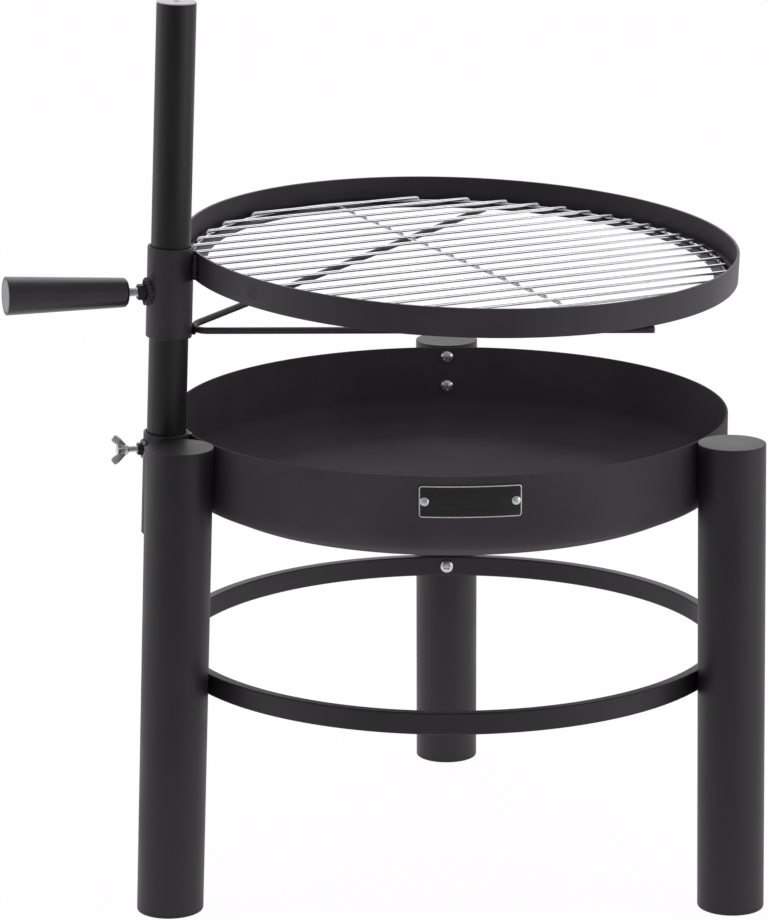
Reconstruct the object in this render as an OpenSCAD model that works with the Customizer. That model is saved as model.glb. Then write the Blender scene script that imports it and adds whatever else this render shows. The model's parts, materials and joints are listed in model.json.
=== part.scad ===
// Brazier grill: a fire bowl on three tube legs, with a grill that swings and
// slides on a post. Millimetres, +Z up, feet on z = 0.

/* [Legs] */
// Outer diameter of a leg tube
leg_d = 60; // [54:1:66]
// Wall of a leg tube
leg_wall = 1.5; // [1:0.1:3]
// Direction of the left leg from the bowl axis, degrees
left_azimuth = 212; // [204:1:220]
// Lean of the left leg, degrees
left_lean = 2.03; // [1:0.01:3]
// Direction in which the left leg leans out, degrees
left_lean_azimuth = 183; // [175:1:195]
// Direction of the right leg from the bowl axis, degrees
right_azimuth = 330.5; // [322:0.5:338]
// Lean of the right leg, degrees
right_lean = 1.18; // [0.2:0.01:2.5]
// Direction in which the right leg leans out, degrees
right_lean_azimuth = 306; // [300:1:335]
// Direction of the back leg from the bowl axis, degrees
back_azimuth = 90; // [82:1:98]
// Lean of the back leg, degrees
back_lean = 0.7; // [0.2:0.1:2.5]
// Height of the leg tops above the rim
leg_rise = 1; // [0:0.5:5]
// Thickness of the disc welded on top of a leg
leg_plate_t = 2; // [1:0.5:4]
// Thickness of a foot plug below the tube
foot_t = 3; // [2:0.5:6]
// Length of a foot plug inside the tube
foot_depth = 14; // [8:1:30]
// Wall of a foot plug inside the tube
foot_wall = 2; // [1:0.5:4]

/* [Fire bowl] */
// Outer diameter of the bowl
bowl_d = 506; // [460:2:540]
// Height of the rim above the floor
rim_z = 428; // [380:2:480]
// Thickness of the bowl sheet
bowl_t = 2; // [1.5:0.1:3]
// Depth of the bowl, outside
bowl_depth = 81; // [76:1:110]
// Outer radius of the knuckle between wall and cone
knuckle_r = 21; // [12:1:23]
// Slope of the cone below the knuckle, degrees
cone_angle = 25; // [15:1:28]
// Width of the cone, measured along the floor
cone_w = 26; // [15:1:32]

/* [Screws and nuts] */
// Shank diameter of the leg screws
screw_d = 6; // [5:0.5:7]
// Head diameter of the leg screws
screw_head_d = 12; // [10:0.5:14]
// Head height of the leg screws
screw_head_h = 3.6; // [2.5:0.1:5]
// Width of the cross recess in a screw head
recess_w = 1.6; // [1:0.1:2]
// Span of the cross recess in a screw head
recess_span = 6; // [4:0.5:8]
// Depth of the cross recess in a screw head
recess_depth = 1.6; // [0.8:0.1:2.2]
// Upper bowl screws, below the rim
bowl_screw_drop = 9.75; // [8:0.25:11]
// Spacing of the two bowl screws on a leg
bowl_screw_pitch = 29; // [22:1:30]
// Width across the flats of the nuts in the legs
leg_nut_af = 10; // [9:0.5:13]
// Height of the nuts in the legs
leg_nut_h = 5; // [3:0.5:8]
// Thread that stands past a nut in a leg
thread_past = 1.5; // [0.5:0.5:4]

/* [Brace ring] */
// Height of the underside of the ring above the floor
brace_z = 198.4; // [140:0.2:260]
// Height of the ring's section
brace_h = 19.5; // [15:0.5:24]
// Width of the ring's section
brace_w = 10; // [8:1:16]
// Wall of the ring's tube
brace_wall = 1.5; // [1:0.1:2.5]
// Rounding of the ring's edges
brace_edge = 1.4; // [0.5:0.1:2]

/* [Name plate] */
// Width of the plate round the wall
plate_w = 89; // [70:1:110]
// Height of the plate
plate_h = 28.5; // [20:0.5:34]
// Thickness of the plate
plate_t = 1; // [0.6:0.1:1.6]
// Corner radius of the plate
plate_corner = 3; // [1:0.5:6]
// Direction of the plate from the bowl axis, degrees
plate_azimuth = -86.85; // [-100:0.05:-76]
// Centre of the plate below the rim
plate_drop = 22; // [18:0.5:24]
// Rivets, in from the ends of the plate
rivet_inset = 4.8; // [4:0.2:8]
// Shank diameter of a rivet
rivet_d = 3.2; // [2.4:0.2:4]
// Head diameter of a rivet
rivet_head_d = 8; // [5.5:0.5:8]
// Head height of a rivet
rivet_head_h = 1.4; // [0.8:0.1:2.2]
// Diameter of a rivet's tail inside the bowl
rivet_tail_d = 4.8; // [4.2:0.2:6]
// Height of a rivet's tail
rivet_tail_h = 1.6; // [0.8:0.1:2.4]

/* [Post and socket] */
// Lean of the post and its socket, degrees
post_lean = 2.45; // [1.5:0.01:3]
// Direction from which the post leans in, degrees
post_lean_azimuth = 160; // [150:1:185]
// Height of the socket's top above the rim
socket_rise = 3.6; // [0:0.1:10]
// Outer diameter of the post
post_d = 35; // [30:1:38]
// Wall of the post tube
post_wall = 1.5; // [1:0.1:3]
// Height of the post above the socket
post_rise = 385.2; // [330:0.1:460]
// Radial play of the post in the socket and in the sleeve
tube_play = 0.5; // [0.3:0.1:0.8]
// Wall of the socket tube
socket_wall = 2.5; // [1.5:0.1:3]
// Length of the socket with its floor
socket_len = 93; // [70:1:120]
// Thickness of the socket's floor plate
socket_floor_t = 2; // [1:0.5:4]
// Diameter of the drain hole in the floor plate
drain_d = 8; // [4:1:14]
// Thickness of the cap on the post
cap_t = 1; // [0.8:0.1:5]
// Length of the cap and of the lower plug inside the post
cap_depth = 14; // [8:1:24]
// Wall of the cap and of the lower plug
cap_wall = 2; // [1:0.5:4]
// Diameter of the hole in the cap
cap_hole_d = 6; // [3:0.5:9]
// Thickness of the lower plug below the post
post_plug_t = 2; // [1:0.5:4]

/* [Wing screw] */
// Centre of the wing screw below the socket's top
pinch_drop = 15.1; // [12:0.1:30]
// Direction in which the wing screw points, degrees
pinch_azimuth = 197; // [185:1:205]
// Diameter of the wing screw
pinch_d = 6; // [5:0.5:7]
// Width across the flats of its nut
pinch_nut_af = 10; // [9.5:0.5:13]
// Height of its nut
pinch_nut_h = 6; // [4.5:0.5:8]
// Bare thread between the nut and the wing head
pinch_bare = 8.8; // [6:0.1:16]
// Hub diameter of the wing head
wing_hub_d = 9.5; // [9:0.5:14]
// Hub length of the wing head
wing_hub_l = 10; // [8:0.5:14]
// Span between the middles of the wings' tips
wing_span = 22; // [20:0.5:32]
// Thickness of a wing
wing_t = 2.6; // [1.6:0.2:3]
// Width of a wing
wing_w = 7; // [5:0.5:8]
// Reach of the wings past the hub
wing_reach = 3; // [1:0.5:8]
// Turn of the wings from upright, degrees
wing_turn = 3; // [0:1:90]

/* [Sleeve and handle] */
// Wall of the sleeve
sleeve_wall = 2.5; // [1.5:0.1:3]
// Length of the sleeve
sleeve_len = 81.4; // [78:0.1:100]
// Lower end of the sleeve above the socket
sleeve_lift = 87.4; // [40:0.1:200]
// Centre of the handle above the sleeve's lower end
handle_lift = 40.5; // [24:0.5:54]
// Direction in which the handle points, degrees
handle_azimuth = 197; // [185:1:215]
// Diameter of the handle's stud
stud_d = 8; // [6:0.5:9]
// Width across the flats of the stud's nut
stud_nut_af = 13; // [12.5:0.5:17]
// Height of the stud's nut
stud_nut_h = 9; // [6:0.5:12]
// Bare thread between the nut and the grip
stud_bare = 9; // [6:0.5:14]
// Length of the stud inside the grip
stud_hold = 40; // [20:1:60]
// Length of the grip
grip_len = 109; // [90:0.5:140]
// Diameter of the grip's inner end
grip_inner_d = 26; // [22:1:30]
// Diameter of the grip's outer end
grip_outer_d = 34; // [31:1:42]
// Chamfer on the grip's inner end
grip_chamfer = 2.5; // [1:0.5:4]
// Chamfer on the grip's outer end
grip_edge = 0.8; // [0.4:0.1:1.4]
// Diameter of the disc in the grip's outer end
disc_d = 29; // [22:1:29]
// Thickness of the disc in the grip's outer end
disc_t = 3; // [2:0.5:5]

/* [Grill ring] */
// Outer diameter of the ring
ring_d = 500; // [440:5:540]
// Height of the ring's band
ring_h = 25.5; // [20:0.5:30]
// Thickness of the band and of its ledge
ring_t = 2.5; // [1.5:0.1:3]
// Width of the ledge from the band's outer face
ledge_w = 22; // [18:1:28]
// Direction of the grill from the post, degrees
grill_azimuth = 18.5; // [5:0.1:30]
// Rise of the grill away from the post, degrees
grill_pitch = 0.67; // [0:0.01:2]
// Turn of the grill about its arm, front side down, degrees
grill_roll = 1.48; // [0:0.01:4]
// Top of the band above the support rod's bend
ring_rise = 73.4; // [67:0.2:76]

/* [Support rod] */
// Diameter of the rod
rod_d = 6; // [5:0.5:8]
// Angle between the rod's two arms, degrees
rod_spread = 63.8; // [50:0.2:74]
// Turn of the rod from the grill's arm, degrees
rod_turn = 0.9; // [0:0.1:2]
// Radius of the rod's bend, at its centreline
rod_bend_r = 17.5; // [16:0.5:28]
// Centre of the rod's bend above the sleeve's lower end
rod_lift = 3.1; // [3.1:0.1:9]
// Rod ends, in from the outside of the ring
rod_end_inset = 2.5; // [1:0.5:6]

/* [Grate] */
// Diameter of the grate's bars
bar_d = 3; // [2.8:0.1:4]
// Diameter of the round rim wire
rim_wire_d = 3; // [2.8:0.1:4]
// Spacing of the bars
bar_pitch = 22.5; // [18:0.1:30]
// Least room between the outermost bars and the rim wire
bar_end_room = 10; // [6:0.5:16]
// Radial play of the grate in the ring
grate_play = 3.4; // [3.4:0.1:8]
// Shift of the grate towards the post
grate_slip_in = 2.1; // [0:0.1:2.2]
// Shift of the grate to the low side
grate_slip_side = 2.1; // [0:0.1:2.2]
// Turn of the bars from the arm, degrees
grate_turn = 11.9; // [0:0.1:90]
// Cross wire, off the grate's centre
cross_offset = 5; // [0:0.5:10]

/* [Welds and clearances] */
// Radius of the round of a weld bead
bead_r = 3; // [2.4:0.1:3.6]
// Width of the weld round the wing screw's nut
pinch_bead_w = 3.4; // [2:0.1:6]
// Height of the weld round the wing screw's nut
pinch_bead_h = 4; // [1.5:0.1:4.4]
// Width of the weld round the stud's nut
stud_bead_w = 3.8; // [2:0.1:4]
// Height of the weld round the stud's nut
stud_bead_h = 4.5; // [1.5:0.1:5]
// Gap between tubes that are welded side by side
weld_gap = 0.1; // [0.05:0.05:0.3]
// Gap between pieces that rest on each other and come apart
seat_gap = 0.3; // [0.2:0.05:0.4]
// Gap between pieces that stay together
touch = 0.05; // [0.02:0.01:0.08]
// Radial clearance of a thread or a pressed plug
thread_gap = 0.05; // [0.02:0.01:0.08]
// Radial clearance of a screw in a plain hole
hole_gap = 0.3; // [0.2:0.05:0.6]

/* [Hidden] */
$fn = 72;
cut = 1;
// A straight part laps a bend, and is this much thicker than the bend
lap = 0.2;
step = 0.02;

leg_r = leg_d / 2;
leg_bore_r = leg_r - leg_wall;
bowl_r = bowl_d / 2;
post_r = post_d / 2;
post_bore_r = post_r - post_wall;
tube_bore_r = post_r + tube_play;
socket_r = tube_bore_r + socket_wall;
sleeve_r = tube_bore_r + sleeve_wall;
ring_r = ring_d / 2;
rod_r = rod_d / 2;
bar_r = bar_d / 2;
rim_wire_r = rim_wire_d / 2;

// Each leg is [direction, lean, direction of the lean]; its axis meets the
// rim's height at leg_axis_r
leg_axis_r = bowl_r + leg_r + weld_gap;
LEFT = [left_azimuth, left_lean, left_lean_azimuth];
RIGHT = [right_azimuth, right_lean, right_lean_azimuth];
BACK = [back_azimuth, back_lean, back_azimuth];
LEGS = [LEFT, RIGHT, BACK];
function unit(a) = [cos(a), sin(a)];
function axis_xy(leg, z) = leg_axis_r * unit(leg[0]) + (rim_z - z) * tan(leg[1]) * unit(leg[2]);
function axis_r(leg, z) = axis_xy(leg, z) * unit(leg[0]);
leg_top = rim_z + leg_rise;

// A nut in a leg lies against the bore with the edges of two flats
nut_seat = sqrt(leg_bore_r * leg_bore_r - leg_nut_af * leg_nut_af / 4) - seat_gap;

// The bowl's section, from its underside up
bowl_bottom = rim_z - bowl_depth;
knuckle_turn = 90 - cone_angle;
knuckle_x = bowl_r - knuckle_r;
cone_x = knuckle_x + knuckle_r * cos(knuckle_turn);
flat_x = cone_x - cone_w;
cone_z = bowl_bottom + cone_w * tan(cone_angle);
knuckle_z = cone_z + knuckle_r * sin(knuckle_turn);
miter = bowl_t * tan(cone_angle / 2);

// The brace ring touches all three legs: its centre is their circumcentre
brace_mid = brace_z + brace_h / 2;
function circumcentre(a, b, c) =
    let (d = 2 * cross(b - a, c - a), p = (b - a) * (b - a), q = (c - a) * (c - a))
    a + [(c - a)[1] * p - (b - a)[1] * q, (b - a)[0] * q - (c - a)[0] * p] / d;
brace_c = circumcentre(axis_xy(LEFT, brace_mid), axis_xy(RIGHT, brace_mid),
    axis_xy(BACK, brace_mid));
brace_axis_r = norm(axis_xy(BACK, brace_mid) - brace_c);
brace_r = brace_axis_r - leg_r - weld_gap;
function brace_azimuth(leg) =
    let (v = axis_xy(leg, brace_mid) - brace_c) atan2(v[1], v[0]);

// The name plate's rivets, as angles round the wall
plate_r = bowl_r + touch;
rivet_angle = (plate_w / 2 - rivet_inset) / plate_r * 180 / PI;

// The top of the socket touches the left leg and the bowl
socket_out = bowl_r + socket_r + weld_gap;
socket_side = leg_r + socket_r + weld_gap;
socket_azimuth = left_azimuth - acos(
    (leg_axis_r * leg_axis_r + socket_out * socket_out - socket_side * socket_side)
    / (2 * leg_axis_r * socket_out));
post_xy = socket_out * unit(socket_azimuth);
socket_top = rim_z + socket_rise;
function post_at(z) = post_xy + (socket_top - z) * tan(post_lean) * unit(post_lean_azimuth);

// A weld bead lies beside two tubes that touch, the same way in from both
groove = bead_r * 0.7;
function groove_turn(r1, r2, d) =
    acos(((r1 + groove) * (r1 + groove) + d * d - (r2 + groove) * (r2 + groove))
    / (2 * (r1 + groove) * d));
function socket_groove(side, z) = let (v = axis_xy(LEFT, z) - post_at(z),
    xy = post_at(z) + (socket_r + groove) * unit(atan2(v[1], v[0])
        + side * groove_turn(socket_r, leg_r, norm(v)))) [xy[0], xy[1], z];

// Heights along the post, from the socket's top
floor_top = socket_floor_t - socket_len;
plug_low = floor_top + seat_gap;
post_low = plug_low + post_plug_t + seat_gap;
post_top = post_rise - cap_t;
handle_s = sleeve_lift + handle_lift;
rod_s = sleeve_lift + rod_lift;

// Reaches from the post's axis along the two screws
screw_start = post_r + seat_gap;
pinch_nut_out = socket_r + touch + pinch_nut_h;
wing_start = pinch_nut_out + pinch_bare;
wing_bore = wing_hub_l * 0.8;
stud_nut_out = sleeve_r + touch + stud_nut_h;
grip_start = stud_nut_out + stud_bare;
grip_end = grip_start + grip_len;

// The ring, in the grill's own tilted frame
ring_x = (ring_r + sleeve_r + weld_gap) / cos(grill_pitch) + ring_rise * tan(grill_pitch);
ring_low = ring_rise - ring_h;
ring_mid_z = ring_rise - ring_h / 2;

// The rod's arms leave a point near the post's axis and climb to the ring
rod_half = rod_spread / 2;
rod_end_r = ring_r - rod_end_inset;
rod_end_z = ring_low - rod_r - touch;
rod_near = (sleeve_r + rod_r + weld_gap)
    / cos(grill_pitch + atan2(rod_end_z, ring_x + ring_r / 3));
rod_x = rod_near - rod_bend_r * (1 / sin(rod_half) - 1);
rod_slope = pow(tan(rod_half), 2);
function rod_reach(a) = let (b = a + rod_slope * rod_x, k = 1 + rod_slope)
    (b + sqrt(b * b - k * (a * a + rod_slope * rod_x * rod_x - rod_end_r * rod_end_r))) / k;
function climbed(x, n) =
    n == 0 ? x : climbed(rod_reach(ring_x + x - sqrt(x * x - rod_end_z * rod_end_z)), n - 1);
rod_far = climbed(rod_reach(ring_x), 4);
rod_pitch = asin(rod_end_z / rod_far);
rod_len = (rod_far - rod_x) / cos(rod_half);
rod_tangent = rod_bend_r / tan(rod_half);

// The grate: bars lie on the rim wire and hook down round it
hook_r = bar_r + rim_wire_r + touch;
rim_level = ring_low + ring_t + seat_gap + rim_wire_r;
bar_level = rim_level + hook_r;
tip_r = ring_r - ring_t - grate_play - bar_r;
rim_wire_c = tip_r - hook_r;
bars_each_side = floor((rim_wire_c - bar_end_room) / bar_pitch);
cross_half = sqrt(pow(rim_wire_c - rim_wire_r, 2) - pow(cross_offset + rim_wire_r, 2)) - touch;

// The whole object stands with the middle of its plan on the origin
function leaned(v) =
    let (d = post_lean_azimuth, a = v[0] * cos(d) + v[1] * sin(d), b = v[1] * cos(d) - v[0] * sin(d),
        c = a * cos(post_lean) - v[2] * sin(post_lean))
    [c * cos(d) - b * sin(d), c * sin(d) + b * cos(d)];
function turned(v, a) = [v[0] * cos(a) - v[1] * sin(a), v[0] * sin(a) + v[1] * cos(a), v[2]];
grip_tip = post_xy + leaned(turned([grip_end, 0, handle_s], handle_azimuth));
ring_up = ring_x * sin(grill_pitch) + ring_rise * cos(grill_pitch);
ring_mid = post_xy + leaned(turned([ring_x * cos(grill_pitch) - ring_rise * sin(grill_pitch),
    -ring_up * sin(grill_roll), rod_s + ring_up * cos(grill_roll)], grill_azimuth));
plan_low = [grip_tip[0] - grip_outer_d / 2 * abs(sin(handle_azimuth)), min(-bowl_r, ring_mid[1] - ring_r)];
plan_high = [axis_xy(RIGHT, 0)[0] + leg_r, axis_xy(BACK, 0)[1] + leg_r];
frame_xy = -(plan_low + plan_high) / 2;
far = socket_top + post_rise;

module place() translate([frame_xy[0], frame_xy[1], 0]) children();

module leg_frame(leg) rotate([0, 0, leg[0]]) translate([leg_axis_r, 0, rim_z])
    rotate([0, 0, leg[2] - leg[0]]) rotate([0, -leg[1], 0]) children();

module post_frame() translate([post_xy[0], post_xy[1], socket_top])
    rotate([0, 0, post_lean_azimuth]) rotate([0, -post_lean, 0])
        rotate([0, 0, -post_lean_azimuth]) children();

// Along a screw that points out of the post's axis
module side_frame(azimuth, s) translate([0, 0, s]) rotate([0, 90, azimuth]) children();

module grill_frame() post_frame() rotate([0, 0, grill_azimuth]) translate([0, 0, rod_s])
    rotate([grill_roll, 0, 0]) rotate([0, -grill_pitch, 0]) children();

// All that lies between two heights
module between(low, high) translate([-far, -far, low]) cube([2 * far, 2 * far, high - low]);

module leg_solid(leg) leg_frame(leg) translate([0, 0, -far]) cylinder(h = far + leg_r, r = leg_r);

// A tube from the origin up
module tube(h, r, bore) difference() {
    cylinder(h = h, r = r);
    translate([0, 0, -cut]) cylinder(h = h + 2 * cut, r = bore);
}

// A hexagon prism with two flats upright along Y
module hex(af, h) rotate([0, 0, 30]) cylinder(h = h, d = af / cos(30), $fn = 6);

module nut(af, h, bore_d) difference() {
    hex(af, h);
    translate([0, 0, -cut]) cylinder(h = h + 2 * cut, r = bore_d / 2 + thread_gap);
}

// Places along a leg screw's axis: inner face, then outwards
module bowl_screw_places(leg) for (i = [0, 1])
    rotate([0, 0, leg[0]])
        translate([bowl_r - bowl_t, 0, rim_z - bowl_screw_drop - i * bowl_screw_pitch])
            rotate([0, 90, 0]) children(i);

module brace_screw_place(leg) translate([brace_c[0], brace_c[1], brace_mid])
    rotate([0, 0, brace_azimuth(leg)]) translate([brace_r - brace_w, 0, 0])
        rotate([0, 90, 0]) children();

function bowl_nut_start(leg, i) =
    axis_r(leg, rim_z - bowl_screw_drop - i * bowl_screw_pitch) - nut_seat - bowl_r + bowl_t;
brace_nut_start = brace_axis_r - nut_seat - brace_r + brace_w;

module screw_hole(h) translate([0, 0, -2 * cut]) cylinder(h = h, r = screw_d / 2 + hole_gap);

module leg_screw(grip_l) difference() {
    union() {
        translate([0, 0, -2 * touch])
            cylinder(h = grip_l + leg_nut_h + thread_past + 2 * touch, d = screw_d);
        intersection() {
            translate([0, 0, -screw_head_h - touch]) cylinder(h = screw_head_h, d = screw_head_d);
            translate([0, 0, screw_head_d * 0.9 - screw_head_h])
                sphere(d = screw_head_d * 1.8);
        }
    }
    for (a = [0, 90]) rotate([0, 0, a])
        translate([-recess_span / 2, -recess_w / 2, -screw_head_h - cut])
            cube([recess_span, recess_w, recess_depth + cut]);
}

module leg(leg) color("#3a393a") place() difference() {
    leg_frame(leg) translate([0, 0, -far]) tube(far + leg_r, leg_r, leg_bore_r);
    between(-far, foot_t);
    between(leg_top - leg_plate_t, far);
    bowl_screw_places(leg) {
        screw_hole(bowl_nut_start(leg, 0) + leg_nut_h);
        screw_hole(bowl_nut_start(leg, 1) + leg_nut_h);
    }
    brace_screw_place(leg) screw_hole(brace_nut_start + leg_nut_h);
}

module leg_left() leg(LEFT);
module leg_right() leg(RIGHT);
module leg_back() leg(BACK);

module leg_top_plates() color("#6f6e70") place() for (leg = LEGS) intersection() {
    leg_solid(leg);
    between(leg_top - leg_plate_t, leg_top);
}

module foot_plugs() color("#202021") place() for (leg = LEGS) {
    intersection() {
        leg_solid(leg);
        between(0, foot_t);
    }
    difference() {
        leg_frame(leg) translate([0, 0, -(rim_z - foot_t - foot_depth) / cos(leg[1]) - far])
            tube(far, leg_bore_r - thread_gap, leg_bore_r - foot_wall);
        between(-far, foot_t);
    }
}

module leg_nuts() color("#a9a8a6") place() for (leg = LEGS) {
    bowl_screw_places(leg) {
        translate([0, 0, bowl_nut_start(leg, 0)]) nut(leg_nut_af, leg_nut_h, screw_d);
        translate([0, 0, bowl_nut_start(leg, 1)]) nut(leg_nut_af, leg_nut_h, screw_d);
    }
    brace_screw_place(leg)
        translate([0, 0, brace_nut_start]) nut(leg_nut_af, leg_nut_h, screw_d);
}

module bowl_section() {
    translate([bowl_r - bowl_t, knuckle_z]) square([bowl_t, rim_z - knuckle_z]);
    intersection() {
        translate([knuckle_x, knuckle_z]) difference() {
            circle(r = knuckle_r);
            circle(r = knuckle_r - bowl_t);
        }
        polygon([[knuckle_x, knuckle_z], [bowl_r + cut, knuckle_z],
            [bowl_r + cut, knuckle_z - knuckle_r - cut],
            [knuckle_x + (knuckle_r + cut) / tan(knuckle_turn), knuckle_z - knuckle_r - cut]]);
    }
    polygon([[0, bowl_bottom], [flat_x, bowl_bottom], [cone_x, cone_z],
        [cone_x - bowl_t * sin(cone_angle), cone_z + bowl_t * cos(cone_angle)],
        [flat_x - miter, bowl_bottom + bowl_t], [0, bowl_bottom + bowl_t]]);
}

module plate_rivet_places() for (side = [-1, 1])
    rotate([0, 0, plate_azimuth + side * rivet_angle])
        translate([plate_r, 0, rim_z - plate_drop]) rotate([0, 90, 0]) children();

module rivet_hole() translate([0, 0, -bowl_t - 2 * cut])
    cylinder(h = bowl_t + plate_t + 4 * cut, r = rivet_d / 2 + thread_gap);

module fire_bowl() color("#2d2c2e") place() difference() {
    rotate_extrude() bowl_section();
    for (leg = LEGS) bowl_screw_places(leg) {
        screw_hole(bowl_t + 3 * cut);
        screw_hole(bowl_t + 3 * cut);
    }
    plate_rivet_places() rivet_hole();
}

module bowl_screws() color("#c9c9c9") place() for (leg = LEGS) bowl_screw_places(leg) {
    leg_screw(bowl_nut_start(leg, 0));
    leg_screw(bowl_nut_start(leg, 1));
}

module round_square(w, h, r) {
    translate([r, 0]) square([w - 2 * r, h]);
    translate([0, r]) square([w, h - 2 * r]);
    for (x = [r, w - r], y = [r, h - r]) translate([x, y]) circle(r = r);
}

module brace_ring() color("#2b2a2c") place() difference() {
    translate([brace_c[0], brace_c[1], 0]) rotate_extrude() difference() {
        translate([brace_r - brace_w, brace_z]) round_square(brace_w, brace_h, brace_edge);
        translate([brace_r - brace_w + brace_wall, brace_z + brace_wall])
            square([brace_w - 2 * brace_wall, brace_h - 2 * brace_wall]);
    }
    for (leg = LEGS) brace_screw_place(leg) screw_hole(brace_w + 3 * cut);
}

module brace_screws() color("#c9c9c9") place() for (leg = LEGS)
    brace_screw_place(leg) leg_screw(brace_nut_start);

module name_plate() color("#1c1b1d") place() difference() {
    intersection() {
        translate([0, 0, rim_z - plate_drop - plate_h])
            tube(2 * plate_h, plate_r + plate_t, plate_r);
        rotate([0, 0, plate_azimuth]) translate([0, 0, rim_z - plate_drop]) rotate([90, 0, 90])
            translate([-plate_w / 2, -plate_h / 2, bowl_r / 2]) linear_extrude(height = bowl_r)
                round_square(plate_w, plate_h, plate_corner);
    }
    plate_rivet_places() rivet_hole();
}

module plate_rivets() color("#bdbcba") place() plate_rivet_places() {
    translate([0, 0, -bowl_t - touch]) cylinder(h = bowl_t + plate_t + 2 * touch, d = rivet_d);
    translate([0, 0, plate_t]) difference() {
        intersection() {
            translate([0, 0, plate_t * 0.06]) cylinder(h = rivet_head_h, d = rivet_head_d);
            translate([0, 0, rivet_head_h - rivet_head_d * 0.75]) sphere(r = rivet_head_d * 0.75);
        }
        translate([0, 0, rivet_head_h / 2]) cylinder(h = rivet_head_h, d = rivet_d * 0.5);
    }
    translate([0, 0, -bowl_t - 2 * touch - rivet_tail_h]) cylinder(h = rivet_tail_h, d = rivet_tail_d);
}

module post_socket() color("#343335") place() post_frame() difference() {
    translate([0, 0, floor_top + touch]) tube(-floor_top - touch, socket_r, tube_bore_r);
    side_frame(pinch_azimuth, -pinch_drop) cylinder(h = 2 * socket_r, r = pinch_d / 2 + hole_gap);
}

module socket_floor() color("#343335") place() post_frame()
    translate([0, 0, -socket_len]) tube(socket_floor_t, socket_r, drain_d / 2);

module socket_welds() color("#2b2a2c") place() for (side = [-1, 1]) {
    low = socket_groove(side, socket_top + floor_top + socket_floor_t);
    way = socket_groove(side, socket_top - 2 * socket_floor_t - socket_rise) - low;
    difference() {
        translate(low) rotate([0, acos(way[2] / norm(way)), atan2(way[1], way[0])])
            cylinder(h = norm(way), r = bead_r);
        post_frame() translate([0, 0, -far]) cylinder(h = 2 * far, r = socket_r + touch);
        leg_frame(LEFT) translate([0, 0, -far]) cylinder(h = 2 * far, r = leg_r + touch);
    }
}

// A bead round a nut that stands on a tube of radius r
module nut_bead(af, w, h, r) difference() {
    translate([0, 0, r - h]) cylinder(h = 2 * h, r1 = af / 2 + 1.6 * w, r2 = af / 2 + 0.4 * w);
    translate([0, 0, r / 2]) hex(af + 2 * touch, r);
    rotate([0, 90, 0]) translate([0, 0, -2 * r]) cylinder(h = 4 * r, r = r + touch);
}

module pinch_nut() color("#4a4a4b") place() post_frame() side_frame(pinch_azimuth, -pinch_drop)
    translate([0, 0, socket_r + touch]) nut(pinch_nut_af, pinch_nut_h, pinch_d);

module pinch_nut_weld() color("#6a6968") place() post_frame()
    side_frame(pinch_azimuth, -pinch_drop) nut_bead(pinch_nut_af, pinch_bead_w, pinch_bead_h, socket_r);

module wing_screw_shank() color("#c4c4c2") place() post_frame()
    side_frame(pinch_azimuth, -pinch_drop) translate([0, 0, screw_start])
        cylinder(h = wing_start + wing_bore - screw_start - touch, d = pinch_d);

module wing() {
    root = [wing_hub_d / 4, wing_t];
    tip = [wing_span / 2, wing_hub_l + wing_reach];
    lean = atan2(tip[1] - root[1], tip[0] - root[0]);
    across = wing_t / 2 * [sin(lean), -cos(lean)];
    polygon([root + across, tip + across, tip - across, root - across]);
}

module wing_screw_head() color("#c4c4c2") place() post_frame()
    side_frame(pinch_azimuth, -pinch_drop) translate([0, 0, wing_start]) difference() {
        union() {
            cylinder(h = wing_hub_l, r1 = wing_hub_d / 2, r2 = wing_hub_d * 0.42);
            rotate([0, 0, wing_turn]) for (side = [0, 180]) rotate([0, 0, side])
                rotate([90, 0, 0]) translate([0, 0, -wing_w / 2])
                    linear_extrude(height = wing_w) wing();
        }
        translate([0, 0, -cut]) cylinder(h = wing_bore + cut, r = pinch_d / 2 + thread_gap);
    }

module post_plug() color("#202021") place() post_frame() {
    translate([0, 0, plug_low]) cylinder(h = post_plug_t, r = post_r);
    translate([0, 0, plug_low + post_plug_t / 2])
        tube(post_plug_t / 2 + cap_depth, post_bore_r - thread_gap, post_bore_r - cap_wall);
}

module post_tube() color("#29282a") place() post_frame()
    translate([0, 0, post_low]) tube(post_top - post_low, post_r, post_bore_r);

module post_cap() color("#7c7b7d") place() post_frame() difference() {
    union() {
        translate([0, 0, post_top + touch]) cylinder(h = cap_t - touch, r = post_r);
        translate([0, 0, post_top - cap_depth])
            tube(cap_depth + cap_t / 2, post_bore_r - thread_gap, post_bore_r - cap_wall);
    }
    translate([0, 0, post_top - cut]) cylinder(h = cap_t + 2 * cut, d = cap_hole_d);
}

module sleeve() color("#343335") place() post_frame() difference() {
    translate([0, 0, sleeve_lift]) tube(sleeve_len, sleeve_r, tube_bore_r);
    side_frame(handle_azimuth, handle_s) cylinder(h = 2 * sleeve_r, r = stud_d / 2 + hole_gap);
}

module stud_nut() color("#4a4a4b") place() post_frame() side_frame(handle_azimuth, handle_s)
    translate([0, 0, sleeve_r + touch]) nut(stud_nut_af, stud_nut_h, stud_d);

module stud_nut_weld() color("#2b2a2c") place() post_frame() side_frame(handle_azimuth, handle_s)
    nut_bead(stud_nut_af, stud_bead_w, stud_bead_h, sleeve_r);

module clamp_stud() color("#b9b9b7") place() post_frame() side_frame(handle_azimuth, handle_s)
    translate([0, 0, screw_start]) cylinder(h = grip_start + stud_hold - screw_start, d = stud_d);

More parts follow.
